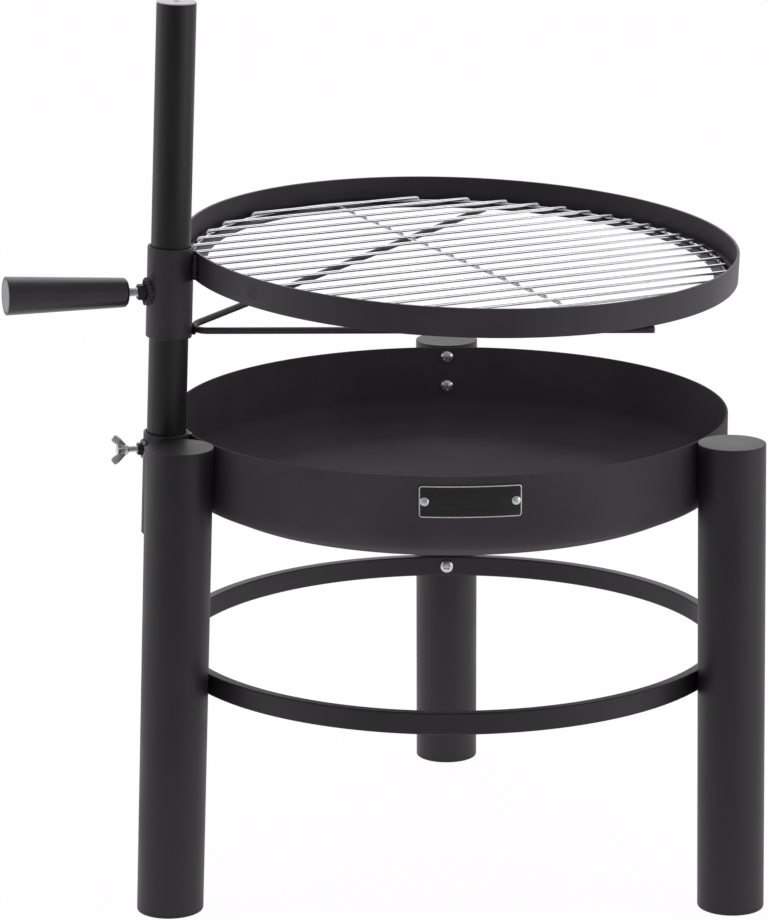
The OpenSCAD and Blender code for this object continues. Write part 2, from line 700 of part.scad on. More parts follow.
module grip() color("#151415") place() post_frame() side_frame(handle_azimuth, handle_s)
    translate([0, 0, grip_start]) difference() {
        rotate_extrude() polygon([[0, 0], [grip_inner_d / 2 - grip_chamfer, 0],
            [grip_inner_d / 2, grip_chamfer], [grip_outer_d / 2, grip_len - grip_edge],
            [grip_outer_d / 2 - grip_edge, grip_len], [0, grip_len]]);
        translate([0, 0, -cut]) cylinder(h = stud_hold + cut + seat_gap, r = stud_d / 2 + thread_gap);
        translate([0, 0, grip_len - disc_t - touch]) cylinder(h = disc_t + cut, r = disc_d / 2 + thread_gap);
    }

module grip_disc() color("#8f8e90") place() post_frame() side_frame(handle_azimuth, handle_s)
    translate([0, 0, grip_end - disc_t]) cylinder(h = disc_t, d = disc_d);

module grill_ring() color("#3a393a") place() grill_frame() translate([ring_x, 0, ring_low])
    rotate_extrude() polygon([[ring_r - ledge_w, 0], [ring_r, 0], [ring_r, ring_h],
        [ring_r - ring_t, ring_h], [ring_r - ring_t, ring_t], [ring_r - ledge_w, ring_t]]);

module ring_welds() color("#2b2a2c") place() for (side = [-1, 1]) difference() {
    grill_frame() translate([ring_mid_z * tan(grill_pitch), ring_mid_z * tan(grill_roll), ring_low])
        rotate([0, 0, side * groove_turn(sleeve_r, ring_r, ring_r + sleeve_r)])
            translate([sleeve_r + groove, 0, ring_t]) cylinder(h = ring_h - 2 * ring_t, r = bead_r);
    post_frame() cylinder(h = post_rise, r = sleeve_r + touch);
    grill_frame() translate([ring_x, 0, 0])
        cylinder(h = ring_rise + ring_h, r = ring_r + touch, $fn = 5 * $fn);
}

module rod_frame() grill_frame() rotate([0, 0, -rod_turn]) rotate([0, -rod_pitch, 0]) children();

module rod_body(grow) {
    translate([rod_x + rod_bend_r / sin(rod_half), 0, 0]) rotate([0, 0, 90 + rod_half])
        rotate_extrude(angle = 180 - rod_spread) translate([rod_bend_r, 0])
            circle(r = rod_r - step + grow);
    for (side = [-1, 1]) translate([rod_x, 0, 0]) rotate([0, 90, side * rod_half])
        translate([0, 0, rod_tangent - lap])
            cylinder(h = rod_len - rod_tangent + lap + grow, r = rod_r + grow);
}

module support_rod() color("#232224") place() rod_frame() rod_body(0);

module rod_welds() color("#2b2a2c") place() {
    difference() {
        rod_frame() translate([rod_near - rod_r, 0, 0])
            rotate([90, 0, 0]) translate([0, 0, -1.6 * bead_r]) cylinder(h = 3.2 * bead_r, r = 1.5 * bead_r);
        rod_frame() rod_body(touch);
        post_frame() cylinder(h = post_rise, r = sleeve_r + touch);
        rod_frame() translate([rod_near, -2 * rod_d, -2 * rod_d]) cube(4 * rod_d);
    }
    for (side = [-1, 1]) difference() {
        rod_frame() translate([rod_x, 0, 0]) rotate([0, 90, side * rod_half])
            translate([0, 0, rod_len]) sphere(r = rod_r + bead_r / 2);
        rod_frame() rod_body(touch);
        grill_frame() translate([ring_x, 0, ring_low - touch]) cylinder(h = ring_h, r = ring_r + ring_h);
        rod_frame() translate([rod_x, 0, 0]) rotate([0, 90, side * rod_half])
            translate([0, 0, rod_len - ring_h - rod_r]) cylinder(h = ring_h, r = 2 * rod_d);
    }
}

module grate_frame() grill_frame()
    translate([ring_x - grate_slip_in, -grate_slip_side, 0]) rotate([0, 0, grate_turn]) children();

module grate_bar(offset_y) {
    half = sqrt(tip_r * tip_r - offset_y * offset_y);
    translate([hook_r - half - lap, offset_y, bar_level]) rotate([0, 90, 0])
        cylinder(h = 2 * (half - hook_r + lap), r = bar_r);
    for (side = [0, 180]) translate([0, offset_y, 0]) rotate([0, 0, side]) {
        translate([half - hook_r, 0, rim_level]) rotate([90, 0, 0])
            rotate_extrude(angle = 90) translate([hook_r, 0]) circle(r = bar_r - step);
        translate([half, 0, rim_level - rim_wire_r + touch])
            cylinder(h = rim_wire_r - touch + lap, r = bar_r);
    }
}

module grate_bars() color("#c8c8c8") place() grate_frame()
    for (i = [-bars_each_side:bars_each_side]) grate_bar(i * bar_pitch);

module grate_rim_wire() color("#c8c8c8") place() grate_frame() translate([0, 0, rim_level])
    rotate_extrude() translate([rim_wire_c, 0]) circle(r = rim_wire_r);

module grate_cross_wire() color("#c8c8c8") place() grate_frame()
    translate([cross_offset, -cross_half, rim_level]) rotate([-90, 0, 0])
        cylinder(h = 2 * cross_half, r = rim_wire_r);

leg_left();
leg_right();
leg_back();
leg_top_plates();
foot_plugs();
leg_nuts();
fire_bowl();
bowl_screws();
brace_ring();
brace_screws();
name_plate();
plate_rivets();
post_socket();
socket_floor();
socket_welds();
pinch_nut();
pinch_nut_weld();
wing_screw_shank();
wing_screw_head();
post_plug();
post_tube();
post_cap();
sleeve();
stud_nut();
stud_nut_weld();
clamp_stud();
grip();
grip_disc();
grill_ring();
ring_welds();
support_rod();
rod_welds();
grate_bars();
grate_rim_wire();
grate_cross_wire();
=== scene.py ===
import json
import math

import bmesh
import bpy
import numpy as np
from mathutils import Matrix, Vector


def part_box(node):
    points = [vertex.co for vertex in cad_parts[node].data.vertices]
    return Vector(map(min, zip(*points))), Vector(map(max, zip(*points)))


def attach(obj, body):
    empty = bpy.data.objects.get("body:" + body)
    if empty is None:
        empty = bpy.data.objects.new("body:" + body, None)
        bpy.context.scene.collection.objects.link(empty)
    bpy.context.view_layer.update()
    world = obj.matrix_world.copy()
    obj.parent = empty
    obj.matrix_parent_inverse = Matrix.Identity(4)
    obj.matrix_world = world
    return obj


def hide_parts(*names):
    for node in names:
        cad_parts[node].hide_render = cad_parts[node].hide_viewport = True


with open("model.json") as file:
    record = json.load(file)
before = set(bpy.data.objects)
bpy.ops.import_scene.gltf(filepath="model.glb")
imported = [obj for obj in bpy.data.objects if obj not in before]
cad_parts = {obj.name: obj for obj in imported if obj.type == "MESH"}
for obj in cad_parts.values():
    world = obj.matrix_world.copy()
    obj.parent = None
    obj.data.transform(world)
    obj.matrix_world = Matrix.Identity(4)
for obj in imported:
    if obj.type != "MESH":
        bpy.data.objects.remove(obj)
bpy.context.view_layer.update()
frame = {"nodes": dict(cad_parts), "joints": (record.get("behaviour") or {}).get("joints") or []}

joints = {joint["name"]: joint for joint in frame["joints"]}


# Frames are 4 x 4 matrices in millimetres: a turn about one axis by the right-hand rule, and a shift
def turn(axis, degrees):
    c, s = math.cos(math.radians(degrees)), math.sin(math.radians(degrees))
    i, j = {"x": (1, 2), "y": (2, 0), "z": (0, 1)}[axis]
    matrix = np.eye(4)
    matrix[i, i] = matrix[j, j] = c
    matrix[i, j], matrix[j, i] = -s, s
    return matrix


def shift(x, y, z):
    matrix = np.eye(4)
    matrix[:3, 3] = x, y, z
    return matrix


stand = {"rimHeight": 428, "legAxisRadius": 283.1, "postLean": 2.45, "postLeanTowards": 160}
bowlCorners = np.array([list(corner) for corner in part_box("fire_bowl")]) * 1000
bowlFrame = shift(*bowlCorners.mean(0)[:2], 0)
postFoot = np.array(joints["post_swing"]["pos_m"]) * 1000
postFrame = (shift(*postFoot) @ turn("z", stand["postLeanTowards"]) @ turn("y", -stand["postLean"])
             @ turn("z", -stand["postLeanTowards"]))


# A frame whose Z runs out of the post's axis in one direction, at a height on the post
def sideFrame(direction, height):
    return postFrame @ shift(0, 0, height) @ turn("z", direction) @ turn("y", 90)


grill = {"direction": 18.5, "roll": 1.48, "pitch": 0.67, "bendHeight": 90.5}
grillFrame = (postFrame @ turn("z", grill["direction"]) @ shift(0, 0, grill["bendHeight"])
              @ turn("x", grill["roll"]) @ turn("y", -grill["pitch"]))


# An outline whose corners are rounded: a quadratic curve from a point before each corner to one after it,
# with one more point on each side that keeps the flat beside it flat in the shading
def rounded(corners, reach, steps=4, closed=True):
    p = np.array(corners, float)
    reaches = np.broadcast_to(np.array(reach, float), len(p)).copy()
    if not closed:
        reaches[[0, -1]] = 0
    back, ahead = np.roll(p, 1, 0) - p, np.roll(p, -1, 0) - p
    backLength = np.linalg.norm(back, axis=1, keepdims=True).clip(1e-9)
    aheadLength = np.linalg.norm(ahead, axis=1, keepdims=True).clip(1e-9)
    r = np.minimum(reaches[:, None], 0.3 * np.minimum(backLength, aheadLength))
    start, end = p + back / backLength * r, p + ahead / aheadLength * r
    t = np.linspace(0, 1, steps + 1)[:, None, None]
    arc = (1 - t) ** 2 * start + 2 * t * (1 - t) * p + t ** 2 * end
    before, after = p + back / backLength * r * 1.6, p + ahead / aheadLength * r * 1.6
    arc = np.concatenate([before[None], arc, after[None]])
    return arc.transpose(1, 0, 2).reshape(-1, 2)


# An outline of (radius, height) turned about Z: x = r cos a, y = r sin a, z = h
def lathe(outline, sides=128):
    a = np.arange(sides) * 2 * math.pi / sides
    r, h = np.array(outline, float)[:, 0, None], np.array(outline, float)[:, 1, None]
    return np.stack([r * np.cos(a), r * np.sin(a), h + 0 * a], axis=-1)


# A section of points (a, b) carried along a path: path + a * side + b * lift, where side is square to
# the way forward and to up, and lift is square to both
def along(path, section, up, closed=False):
    if closed:
        forward = np.roll(path, -1, -2) - np.roll(path, 1, -2)
    else:
        forward = np.gradient(path, axis=-2)
    forward = forward / np.linalg.norm(forward, axis=-1, keepdims=True)
    side = np.cross(forward, up)
    side = side / np.linalg.norm(side, axis=-1, keepdims=True)
    lift = np.cross(side, forward)
    return (path[..., None, :] + section[..., 0, None] * side[..., None, :]
            + section[..., 1, None] * lift[..., None, :])


# A circle of points, as a section or an outline
def circle(radius, sides=24):
    a = np.arange(sides) * 2 * math.pi / sides
    return np.stack([radius * np.cos(a), radius * np.sin(a)], axis=-1)


# A wire along a path with closed, slightly rounded ends: the section shrinks to a point at both ends
def wire(path, radius, up, sides=24):
    ends = np.concatenate([path[..., :1, :]] * 3 + [path[..., 1:-1, :]] + [path[..., -1:, :]] * 3, axis=-2)
    first, last = path[..., 1, :] - path[..., 0, :], path[..., -1, :] - path[..., -2, :]
    first = first / np.linalg.norm(first, axis=-1, keepdims=True)
    last = last / np.linalg.norm(last, axis=-1, keepdims=True)
    ends[..., 1, :] += first * 1e-3
    ends[..., 2, :] += first * radius * 0.15
    ends[..., -2, :] -= last * 1e-3
    ends[..., -3, :] -= last * radius * 0.15
    scale = np.ones(ends.shape[-2])
    scale[[0, -1]], scale[[1, -2]] = 0, 0.86
    return along(ends, scale[:, None, None] * circle(radius, sides), up)


# Grids of points, each rows x columns x 3, become quads; a closed way joins its last line to its first
def gridParts(points, closeRows=False, closeColumns=True):
    grids = points.reshape(-1, *points.shape[-3:])
    rows, columns = grids.shape[1:3]
    index = np.arange(rows * columns).reshape(rows, columns)
    if closeRows:
        index = np.concatenate([index, index[:1]])
    if closeColumns:
        index = np.concatenate([index, index[:, :1]], axis=1)
    quads = np.stack([index[:-1, :-1], index[:-1, 1:], index[1:, 1:], index[1:, :-1]], axis=-1).reshape(-1, 4)
    quads = (quads[None] + np.arange(len(grids))[:, None, None] * rows * columns).reshape(-1, 4)
    return grids.reshape(-1, 3), quads


# Points of one frame, given in the frame that holds it
def moved(points, place):
    return points @ place[:3, :3].T + place[:3, 3]


# One grid as a part, moved into the frame that holds it
def movedPart(grid, place):
    points, quads = gridParts(grid)
    return moved(points, place), quads


# Makes one piece from parts of (points in millimetres, quads), rides it on a body and gives it its finish
def makePiece(name, parts, place, material, body, standsFor=(), sharpAngle=38):
    offsets = np.cumsum([0] + [len(part[0]) for part in parts[:-1]])
    points = np.concatenate([part[0] for part in parts])
    quads = np.concatenate([part[1] + offset for part, offset in zip(parts, offsets)])
    world = moved(points, place) * 0.001
    mesh = bpy.data.meshes.new(name)
    mesh.from_pydata(world, [], quads)
    shell = bmesh.new()
    shell.from_mesh(mesh)
    bmesh.ops.remove_doubles(shell, verts=shell.verts, dist=2e-7)
    bmesh.ops.recalc_face_normals(shell, faces=shell.faces)
    shell.to_mesh(mesh)
    shell.free()
    mesh.shade_smooth()
    mesh.set_sharp_from_angle(angle=math.radians(sharpAngle))
    piece = bpy.data.objects.new(name, mesh)
    bpy.context.scene.collection.objects.link(piece)
    mesh.materials.append(material)
    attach(piece, body)
    if standsFor:
        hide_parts(*standsFor)


# sRGB hex to the linear colour that a shader takes
def colour(hexCode):
    c = np.array([int(hexCode[i:i + 2], 16) for i in (1, 3, 5)]) / 255
    return (*np.where(c <= 0.04045, c / 12.92, ((c + 0.055) / 1.055) ** 2.4).tolist(), 1.0)


# Adds one node: settings are its properties or its sockets' values, links are the sources of its sockets
def addNode(tree, kind, settings=None, links=None):
    node = tree.nodes.new(kind)
    for name, value in (settings or {}).items():
        if isinstance(name, int) or name in node.inputs:
            node.inputs[name].default_value = value
        else:
            setattr(node, name, value)
    for name, source in (links or {}).items():
        tree.links.new(source, node.inputs[name])
    return node


# A finish on a principled shader. Tone, gloss and relief each come from noise on Object coordinates,
# whose grain is a real size in millimetres; stretch draws the grain out along one way, as brushing does
def finish(name, dark, light, roughness, grain, relief, metallic=0.0, stretch=(1, 1, 1), turned=(0, 0, 0),
           toneGrain=60, specular=0.5):
    material = bpy.data.materials.new(name)
    material.use_nodes = True
    tree = material.node_tree
    tree.nodes.clear()
    place = addNode(tree, "ShaderNodeTexCoord").outputs["Object"]
    place = addNode(tree, "ShaderNodeMapping", {"Rotation": [math.radians(a) for a in turned], "Scale": stretch},
                    {"Vector": place}).outputs["Vector"]
    toneNoise = addNode(tree, "ShaderNodeTexNoise", {"Scale": 1000 / toneGrain, "Detail": 4.0}, {"Vector": place})
    tone = addNode(tree, "ShaderNodeMapRange", {"From Min": 0.35, "From Max": 0.65},
                   {"Value": toneNoise.outputs["Fac"]}).outputs["Result"]
    ramp = addNode(tree, "ShaderNodeValToRGB", {}, {"Fac": tone})
    ramp.color_ramp.elements[0].color, ramp.color_ramp.elements[1].color = colour(dark), colour(light)
    fine = addNode(tree, "ShaderNodeTexNoise", {"Scale": 1000 / grain, "Detail": 3.0}, {"Vector": place})
    gloss = addNode(tree, "ShaderNodeMapRange", {"From Min": 0.3, "From Max": 0.7, "To Min": roughness[0],
                                                 "To Max": roughness[1]}, {"Value": toneNoise.outputs["Fac"]})
    bump = addNode(tree, "ShaderNodeBump", {"Strength": relief[0], "Distance": relief[1] / 1000},
                   {"Height": fine.outputs["Fac"]})
    shader = addNode(tree, "ShaderNodeBsdfPrincipled",
                     {"Metallic": metallic, "Specular IOR Level": specular},
                     {"Base Color": ramp.outputs["Color"], "Roughness": gloss.outputs["Result"],
                      "Normal": bump.outputs["Normal"]})
    addNode(tree, "ShaderNodeOutputMaterial", {}, {"Surface": shader.outputs["BSDF"]})
    return material


# Polyester powder coat, baked on: satin black with a fine orange peel about 1.5 mm across
powderCoat = finish("satinBlackPowderCoat", "#191319", "#211b21", (0.40, 0.52), 1.5, (0.18, 0.12))
# The grill's coat: the same powder coat painted a shade paler, a painted light that stands in for the light the
# grill ring's face reflects
grillCoatPaintedPaler = finish("satinBlackPowderCoatOfGrillPaintedPaler", "#2c252c", "#352e35", (0.40, 0.50), 1.5, (0.18, 0.12))
# The same coat over a weld that was left rough: lumps and pits about 2 mm across. Its tone is painted paler than
# the stand's coat, a painted light that lifts the shade in the crevices where the beads sit, as between ring and
# sleeve
coatedWeldPaintedPaler = finish("satinBlackPowderCoatOverWeldPaintedPaler", "#1f1b1f", "#302b30", (0.36, 0.56), 2.2, (0.9, 0.9),
                    toneGrain=5)
# Silicone heat paint, sprayed on pressed sheet: flatter than powder coat, with soft cloudy tone
heatPaint = finish("mattBlackHeatPaint", "#443e44", "#4d474d", (0.74, 0.84), 1.2, (0.20, 0.12), toneGrain=90,
                   specular=0.15)
# Stoving enamel on drawn tube: semi-gloss, faint streaks along the draw
drawnEnamel = finish("semiGlossEnamelOnDrawnTube", "#0c080c", "#120e12", (0.36, 0.46), 1.5, (0.10, 0.08),
                     stretch=(9, 9, 0.35), toneGrain=40)
# Bright chrome plate on drawn wire: the fine draw lines blur what it mirrors, and its tone changes slowly
chromePlate = finish("brightChromePlateOnWire", "#dcdddf", "#eeeff0", (0.20, 0.26), 30, (0.0, 0.01),
                     metallic=1.0, toneGrain=120)
# Blue-passivated zinc plate, barrel plated: bright, slightly grainy
zincPlate = finish("barrelPlatedZinc", "#d0cfd0", "#e6e5e6", (0.22, 0.34), 0.8, (0.06, 0.05), metallic=1.0,
                   toneGrain=4)
# Bare weld metal, arc welded and left as laid: dull, with scale in the hollows
weldMetal = finish("arcWeldBeadLeftBare", "#56534f", "#a3a09b", (0.30, 0.50), 0.9, (0.5, 0.2), metallic=1.0,
                   toneGrain=3)
# Phenolic, compression moulded and lightly buffed: a soft gloss
gripPhenolic = finish("buffedPhenolic", "#1b151b", "#241e24", (0.30, 0.38), 2.5, (0.08, 0.08), specular=0.75,
                      stretch=(0.25, 1, 1), turned=(0, 0, -197), toneGrain=12)
# Polyethylene, moulded in grey: soft sheen and fine spark texture
greyPolythene = finish("mouldedGreyPolythene", "#d2cfd2", "#dedbde", (0.42, 0.52), 0.8, (0.15, 0.06), toneGrain=8)
discPolythene = finish("mouldedMidGreyPolythene", "#8f8e91", "#a1a0a3", (0.40, 0.50), 0.8, (0.15, 0.06),
                       toneGrain=8)
# Polyethylene, moulded in black, for feet and plugs
blackPolythene = finish("mouldedBlackPolythene", "#141314", "#1d1c1d", (0.45, 0.58), 0.8, (0.2, 0.06),
                        toneGrain=10)
# Aluminium sheet, anodised black with a fine brushed grain along the plate
blackAnodised = finish("brushedBlackAnodisedAluminium", "#121113", "#1d1c1e", (0.26, 0.38), 0.7, (0.15, 0.05),
                       stretch=(0.08, 1, 1), toneGrain=5)
# Aluminium, cut bright: the plate's edge line and the rivets
brightAluminium = finish("diamondCutAluminium", "#cfd0d1", "#e6e7e8", (0.16, 0.28), 0.7, (0.08, 0.05),
                         metallic=1.0, toneGrain=3)
print("finishes made")

# The solids that no piece of the scene stands for keep their form and get a finish
for nodeName, material in {
        "leg_nuts": zincPlate, "socket_floor": powderCoat, "post_plug": blackPolythene}.items():
    frame["nodes"][nodeName].data.materials.clear()
    frame["nodes"][nodeName].data.materials.append(material)

# Legs: a straight tube with level ends, a disc welded flush on its top and a moulded foot. A stance is the
# leg's direction from the bowl, its lean and the direction in which it leans out
leg = {"radius": 30, "bore": 28.5, "top": 429, "disc": 2, "discEdge": 0.9,
       "foot": 3, "footWall": 2, "footTop": 17,
       "stances": {"leg_left": (212, 2.03, 183), "leg_right": (330.5, 1.18, 306), "leg_back": (90, 0.7, 90)}}


# An outline of (radius, level) turned about a leaning leg's axis, with each row cut by a level plane:
# h = (level - rim - x sin lean) / cos lean
def levelLathe(outline, lean, sides):
    points, levels = lathe(outline, sides), np.array(outline, float)[:, 1, None]
    s, c = math.sin(math.radians(lean)), math.cos(math.radians(lean))
    points[..., 2] = (levels - stand["rimHeight"] - points[..., 0] * s) / c
    return points


discParts, footParts = [], []
for nodeName, (direction, lean, towards) in leg["stances"].items():
    place = (bowlFrame @ turn("z", direction) @ shift(stand["legAxisRadius"], 0, stand["rimHeight"])
             @ turn("z", towards - direction) @ turn("y", -lean))
    outer, bore = leg["radius"], leg["bore"]
    seam = leg["top"] - leg["disc"]
    foot, footBore, footTop = leg["foot"], bore - leg["footWall"], leg["footTop"]
    tube = levelLathe([(bore, foot), (bore + 0.2, foot), (outer - 0.4, foot), (outer - 0.1, foot + 0.1),
                       (outer, foot + 0.5), (outer, foot + 1.5), (outer, seam - 1), (outer, seam - 0.1),
                       (outer - 0.1, seam), (bore, seam)], lean, 160)
    makePiece(nodeName + "Tube", [gridParts(tube, closeRows=True)], place, powderCoat, "stand",
              (nodeName,))
    discParts.append(movedPart(levelLathe(
        rounded([(0, seam), (outer, seam), (outer, leg["top"]), (0, leg["top"])],
                [0, 0.12, leg["discEdge"], 0], 6, closed=False), lean, 160), place))
    footParts.append(movedPart(levelLathe(
        [(0, 0), (outer - 1.2, 0), (outer - 0.35, 0.3), (outer - 0.05, 1.1), (outer - 0.05, foot),
         (bore - 0.05, foot), (bore - 0.05, footTop - 1), (bore - 0.4, footTop), (footBore, footTop),
         (footBore, foot), (0, foot)], lean, 120), place))
makePiece("legTopDiscs", discParts, np.eye(4), powderCoat, "stand", ("leg_top_plates",))
makePiece("feet", footParts, np.eye(4), blackPolythene, "stand", ("foot_plugs",))
print("legs made")

# Fire bowl: one pressed sheet, with a straight wall, a round knuckle, a shallow cone and a flat bottom. Its
# outline runs up the outside, over the rim and down the inside. wallRows and floorRows are where it has points
# of its own on the straight wall and the flat floor
bowl = {"radius": 253, "sheet": 2, "depth": 81, "knuckle": 21, "cone": 25, "coneWidth": 26, "rimEdge": 0.75,
        "wallRows": (400, 415), "floorRows": (60, 130), "coneRounding": 7}
coneAngle = math.radians(bowl["cone"])
knuckleX, turnAngle = bowl["radius"] - bowl["knuckle"], 90 - bowl["cone"]
coneX = knuckleX + bowl["knuckle"] * math.cos(math.radians(turnAngle))
bottom = stand["rimHeight"] - bowl["depth"]
coneZ = bottom + bowl["coneWidth"] * math.tan(coneAngle)
knuckleZ = coneZ + bowl["knuckle"] * math.sin(math.radians(turnAngle))
arcAngles = np.radians(np.linspace(-turnAngle, 0, 22))
arcWay = np.stack([np.cos(arcAngles), np.sin(arcAngles)], axis=-1)
flatX = coneX - bowl["coneWidth"]
miter = bowl["sheet"] * math.tan(math.radians(bowl["cone"] / 2))
innerRadius, floorLevel = bowl["radius"] - bowl["sheet"], bottom + bowl["sheet"]
wallLow, wallHigh = bowl["wallRows"]
nearRow, farRow = bowl["floorRows"]
outside = np.concatenate([
    rounded([(0, bottom), (nearRow, bottom), (farRow, bottom), (flatX, bottom), (coneX, coneZ)],
            [0, 1, 1, bowl["coneRounding"], 0], 6, False)[:-2],
    [knuckleX, knuckleZ] + bowl["knuckle"] * arcWay,
    [[bowl["radius"], knuckleZ + 6], [bowl["radius"], wallHigh]]])
rimTop = rounded([(bowl["radius"], wallHigh), (bowl["radius"], stand["rimHeight"]),
                  (innerRadius, stand["rimHeight"]), (innerRadius, wallHigh)],
                 [0, bowl["rimEdge"], bowl["rimEdge"], 0], 6, False)
lift = [-math.sin(coneAngle) * bowl["sheet"], math.cos(coneAngle) * bowl["sheet"]]
inside = np.concatenate([
    [[innerRadius, wallLow], [innerRadius, knuckleZ + 6]],
    ([knuckleX, knuckleZ] + (bowl["knuckle"] - bowl["sheet"]) * arcWay)[::-1],
    rounded([(coneX + lift[0], coneZ + lift[1]), (flatX - miter, floorLevel), (farRow, floorLevel),
             (nearRow, floorLevel), (0, floorLevel)], [0, bowl["coneRounding"], 1, 1, 0], 6, False)[2:]])
makePiece("pressedBowl", [gridParts(lathe(np.concatenate([outside, rimTop, inside]), 320))], bowlFrame, heatPaint,
          "stand", ("fire_bowl",), sharpAngle=60)
print("bowl made")

# Brace ring: rectangular tube bent round and closed; it touches the three legs, so its centre lies off the bowl's
brace = {"low": 198.4, "height": 19.5, "width": 10, "edge": 1.6}
braceCorners = np.array([list(corner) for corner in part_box("brace_ring")]) * 1000
braceFrame = shift(*braceCorners.mean(0)[:2], 0)
braceRadius = (braceCorners[1, 0] - braceCorners[0, 0]) / 2
section = rounded([(braceRadius - brace["width"], brace["low"]), (braceRadius, brace["low"]),
                   (braceRadius, brace["low"] + brace["height"]),
                   (braceRadius - brace["width"], brace["low"] + brace["height"])], brace["edge"], 6)
makePiece("braceRing", [gridParts(lathe(section, 320), closeRows=True)], braceFrame, powderCoat, "stand",
          ("brace_ring",), sharpAngle=60)
print("brace ring made")

# Pan head screws: a domed disc with a cross recess. Height over the seat is a circle's arc; the recess takes
# away a depth that falls off at the sides of two crossed slots
screw = {"shank": 6, "head": 12, "headHeight": 3.6, "flank": 1.7, "slot": 1.5, "span": 6.6, "recess": 2.0,
         "slotSlope": 0.25, "spanSlope": 0.9, "bowlLevels": (418.25, 389.25),
         "braceDirections": (-148.9, -29.4, 89.69)}


# How deep one slot is at (along, across), from 0 to 1: it falls off over a short slope at its sides and ends
def slotDepth(along, across):
    sides = np.clip((screw["slot"] / 2 - np.abs(across)) / screw["slotSlope"] + 0.5, 0, 1)
    return sides * np.clip((screw["span"] / 2 - np.abs(along)) / screw["spanSlope"], 0, 1)


# z = height - ball + sqrt(ball^2 - rho^2) - recess * depth, over a short skirt and a plain shank
def panHead(reach):
    radius, high = screw["head"] / 2, screw["headHeight"]
    dome = high - screw["flank"]
    ball = (radius ** 2 + dome ** 2) / (2 * dome)
    rho = np.concatenate([np.linspace(0, 0.7, 22), np.linspace(0.72, 1, 12)])[:, None] * radius
    a = np.arange(64) * 2 * math.pi / 64
    x, y = rho * np.cos(a), rho * np.sin(a)
    z = high - ball + np.sqrt(ball ** 2 - rho ** 2) + 0 * a
    z = z - screw["recess"] * np.maximum(slotDepth(x, y), slotDepth(y, x))
    top = np.stack([x, y, z], axis=-1)
    skirt = lathe([(radius, screw["flank"] - 0.2), (radius, 0.3), (radius - 0.2, 0.05), (0, 0.05)], 64)
    cap = np.concatenate([top, skirt])
    shank = lathe([(0, 0.05), (screw["shank"] / 2, 0.05), (screw["shank"] / 2, -reach + 0.6),
                   (screw["shank"] / 2 - 0.6, -reach), (0, -reach)], 24)
    return [cap, shank]


# Each screw points out of the bowl or the ring: its head is on the inside, so its frame's Z looks inwards
def screwSet(name, places, reaches, nodeName):
    parts = [movedPart(grid, place) for place, reach in zip(places, reaches) for grid in panHead(reach)]
    makePiece(name, parts, np.eye(4), zincPlate, "stand", (nodeName,), sharpAngle=30)


# Each screw's recess is turned its own way, and its shank reaches its own length through the leg's nut
bowlTurns, bowlReaches = ((10, 35), (60, 20), (28, 8)), (13, 14, 13, 13.5, 13, 13.5)
bowlScrewPlaces = [bowlFrame @ turn("z", direction) @ shift(innerRadius, 0, level)
                   @ turn("y", -90) @ turn("z", spin)
                   for (direction, lean, towards), spins in zip(leg["stances"].values(), bowlTurns)
                   for level, spin in zip(screw["bowlLevels"], spins)]
screwSet("bowlScrews", bowlScrewPlaces, bowlReaches, "bowl_screws")
braceTurns, braceReaches = (12, 50, 40), (19, 19, 19)
braceScrewPlaces = [braceFrame @ turn("z", direction)
                    @ shift(braceRadius - brace["width"], 0, brace["low"] + brace["height"] / 2)
                    @ turn("y", -90) @ turn("z", spin)
                    for direction, spin in zip(screw["braceDirections"], braceTurns)]
screwSet("braceScrews", braceScrewPlaces, braceReaches, "brace_screws")
print("screws made")

# Name plate: a thin sheet rolled to the wall's radius, bare, with a bright line round its edge
plate = {"width": 89, "height": 28.5, "thickness": 1, "corner": 3, "direction": -86.85, "drop": 22,
         "lineInset": 0.75, "rivetAngle": 8.95}
plateRadius = bowl["radius"] + 0.05
plateFrame = bowlFrame @ turn("z", plate["direction"]) @ shift(0, 0, stand["rimHeight"] - plate["drop"])


# The outline of a rounded rectangle: corner arcs joined by straight runs, as (u, v)
def plateOutline(inset):
    w, h = plate["width"] / 2 - inset, plate["height"] / 2 - inset
    r = max(plate["corner"] - inset, 0.8)
    a = np.radians(np.linspace(0, 90, 9))
    corner = np.stack([np.cos(a), np.sin(a)], axis=-1) * r
    arcs = [np.array([sx * (w - r), sy * (h - r)]) + (corner @ np.array([[c, s], [-s, c]]))
            for sx, sy, c, s in ((1, 1, 1, 0), (-1, 1, 0, 1), (-1, -1, -1, 0), (1, -1, 0, -1))]
    tops = [np.stack([np.linspace(w - r, r - w, 26)[1:-1], np.full(24, h)], -1),
            np.stack([np.full(8, -w), np.linspace(h - r, r - h, 10)[1:-1]], -1),
            np.stack([np.linspace(r - w, w - r, 26)[1:-1], np.full(24, -h)], -1),
            np.stack([np.full(8, w), np.linspace(r - h, h - r, 10)[1:-1]], -1)]
    return np.concatenate([part for pair in zip(arcs, tops) for part in pair])


# Points (u, v) of a flat sheet go to the wall at the angle u / radius, the height v and a distance out
def rolled(uv, out):
    a = uv[..., 0] / plateRadius
    r = plateRadius + out
    return np.stack([r * np.cos(a), r * np.sin(a), uv[..., 1] + 0 * a], axis=-1)


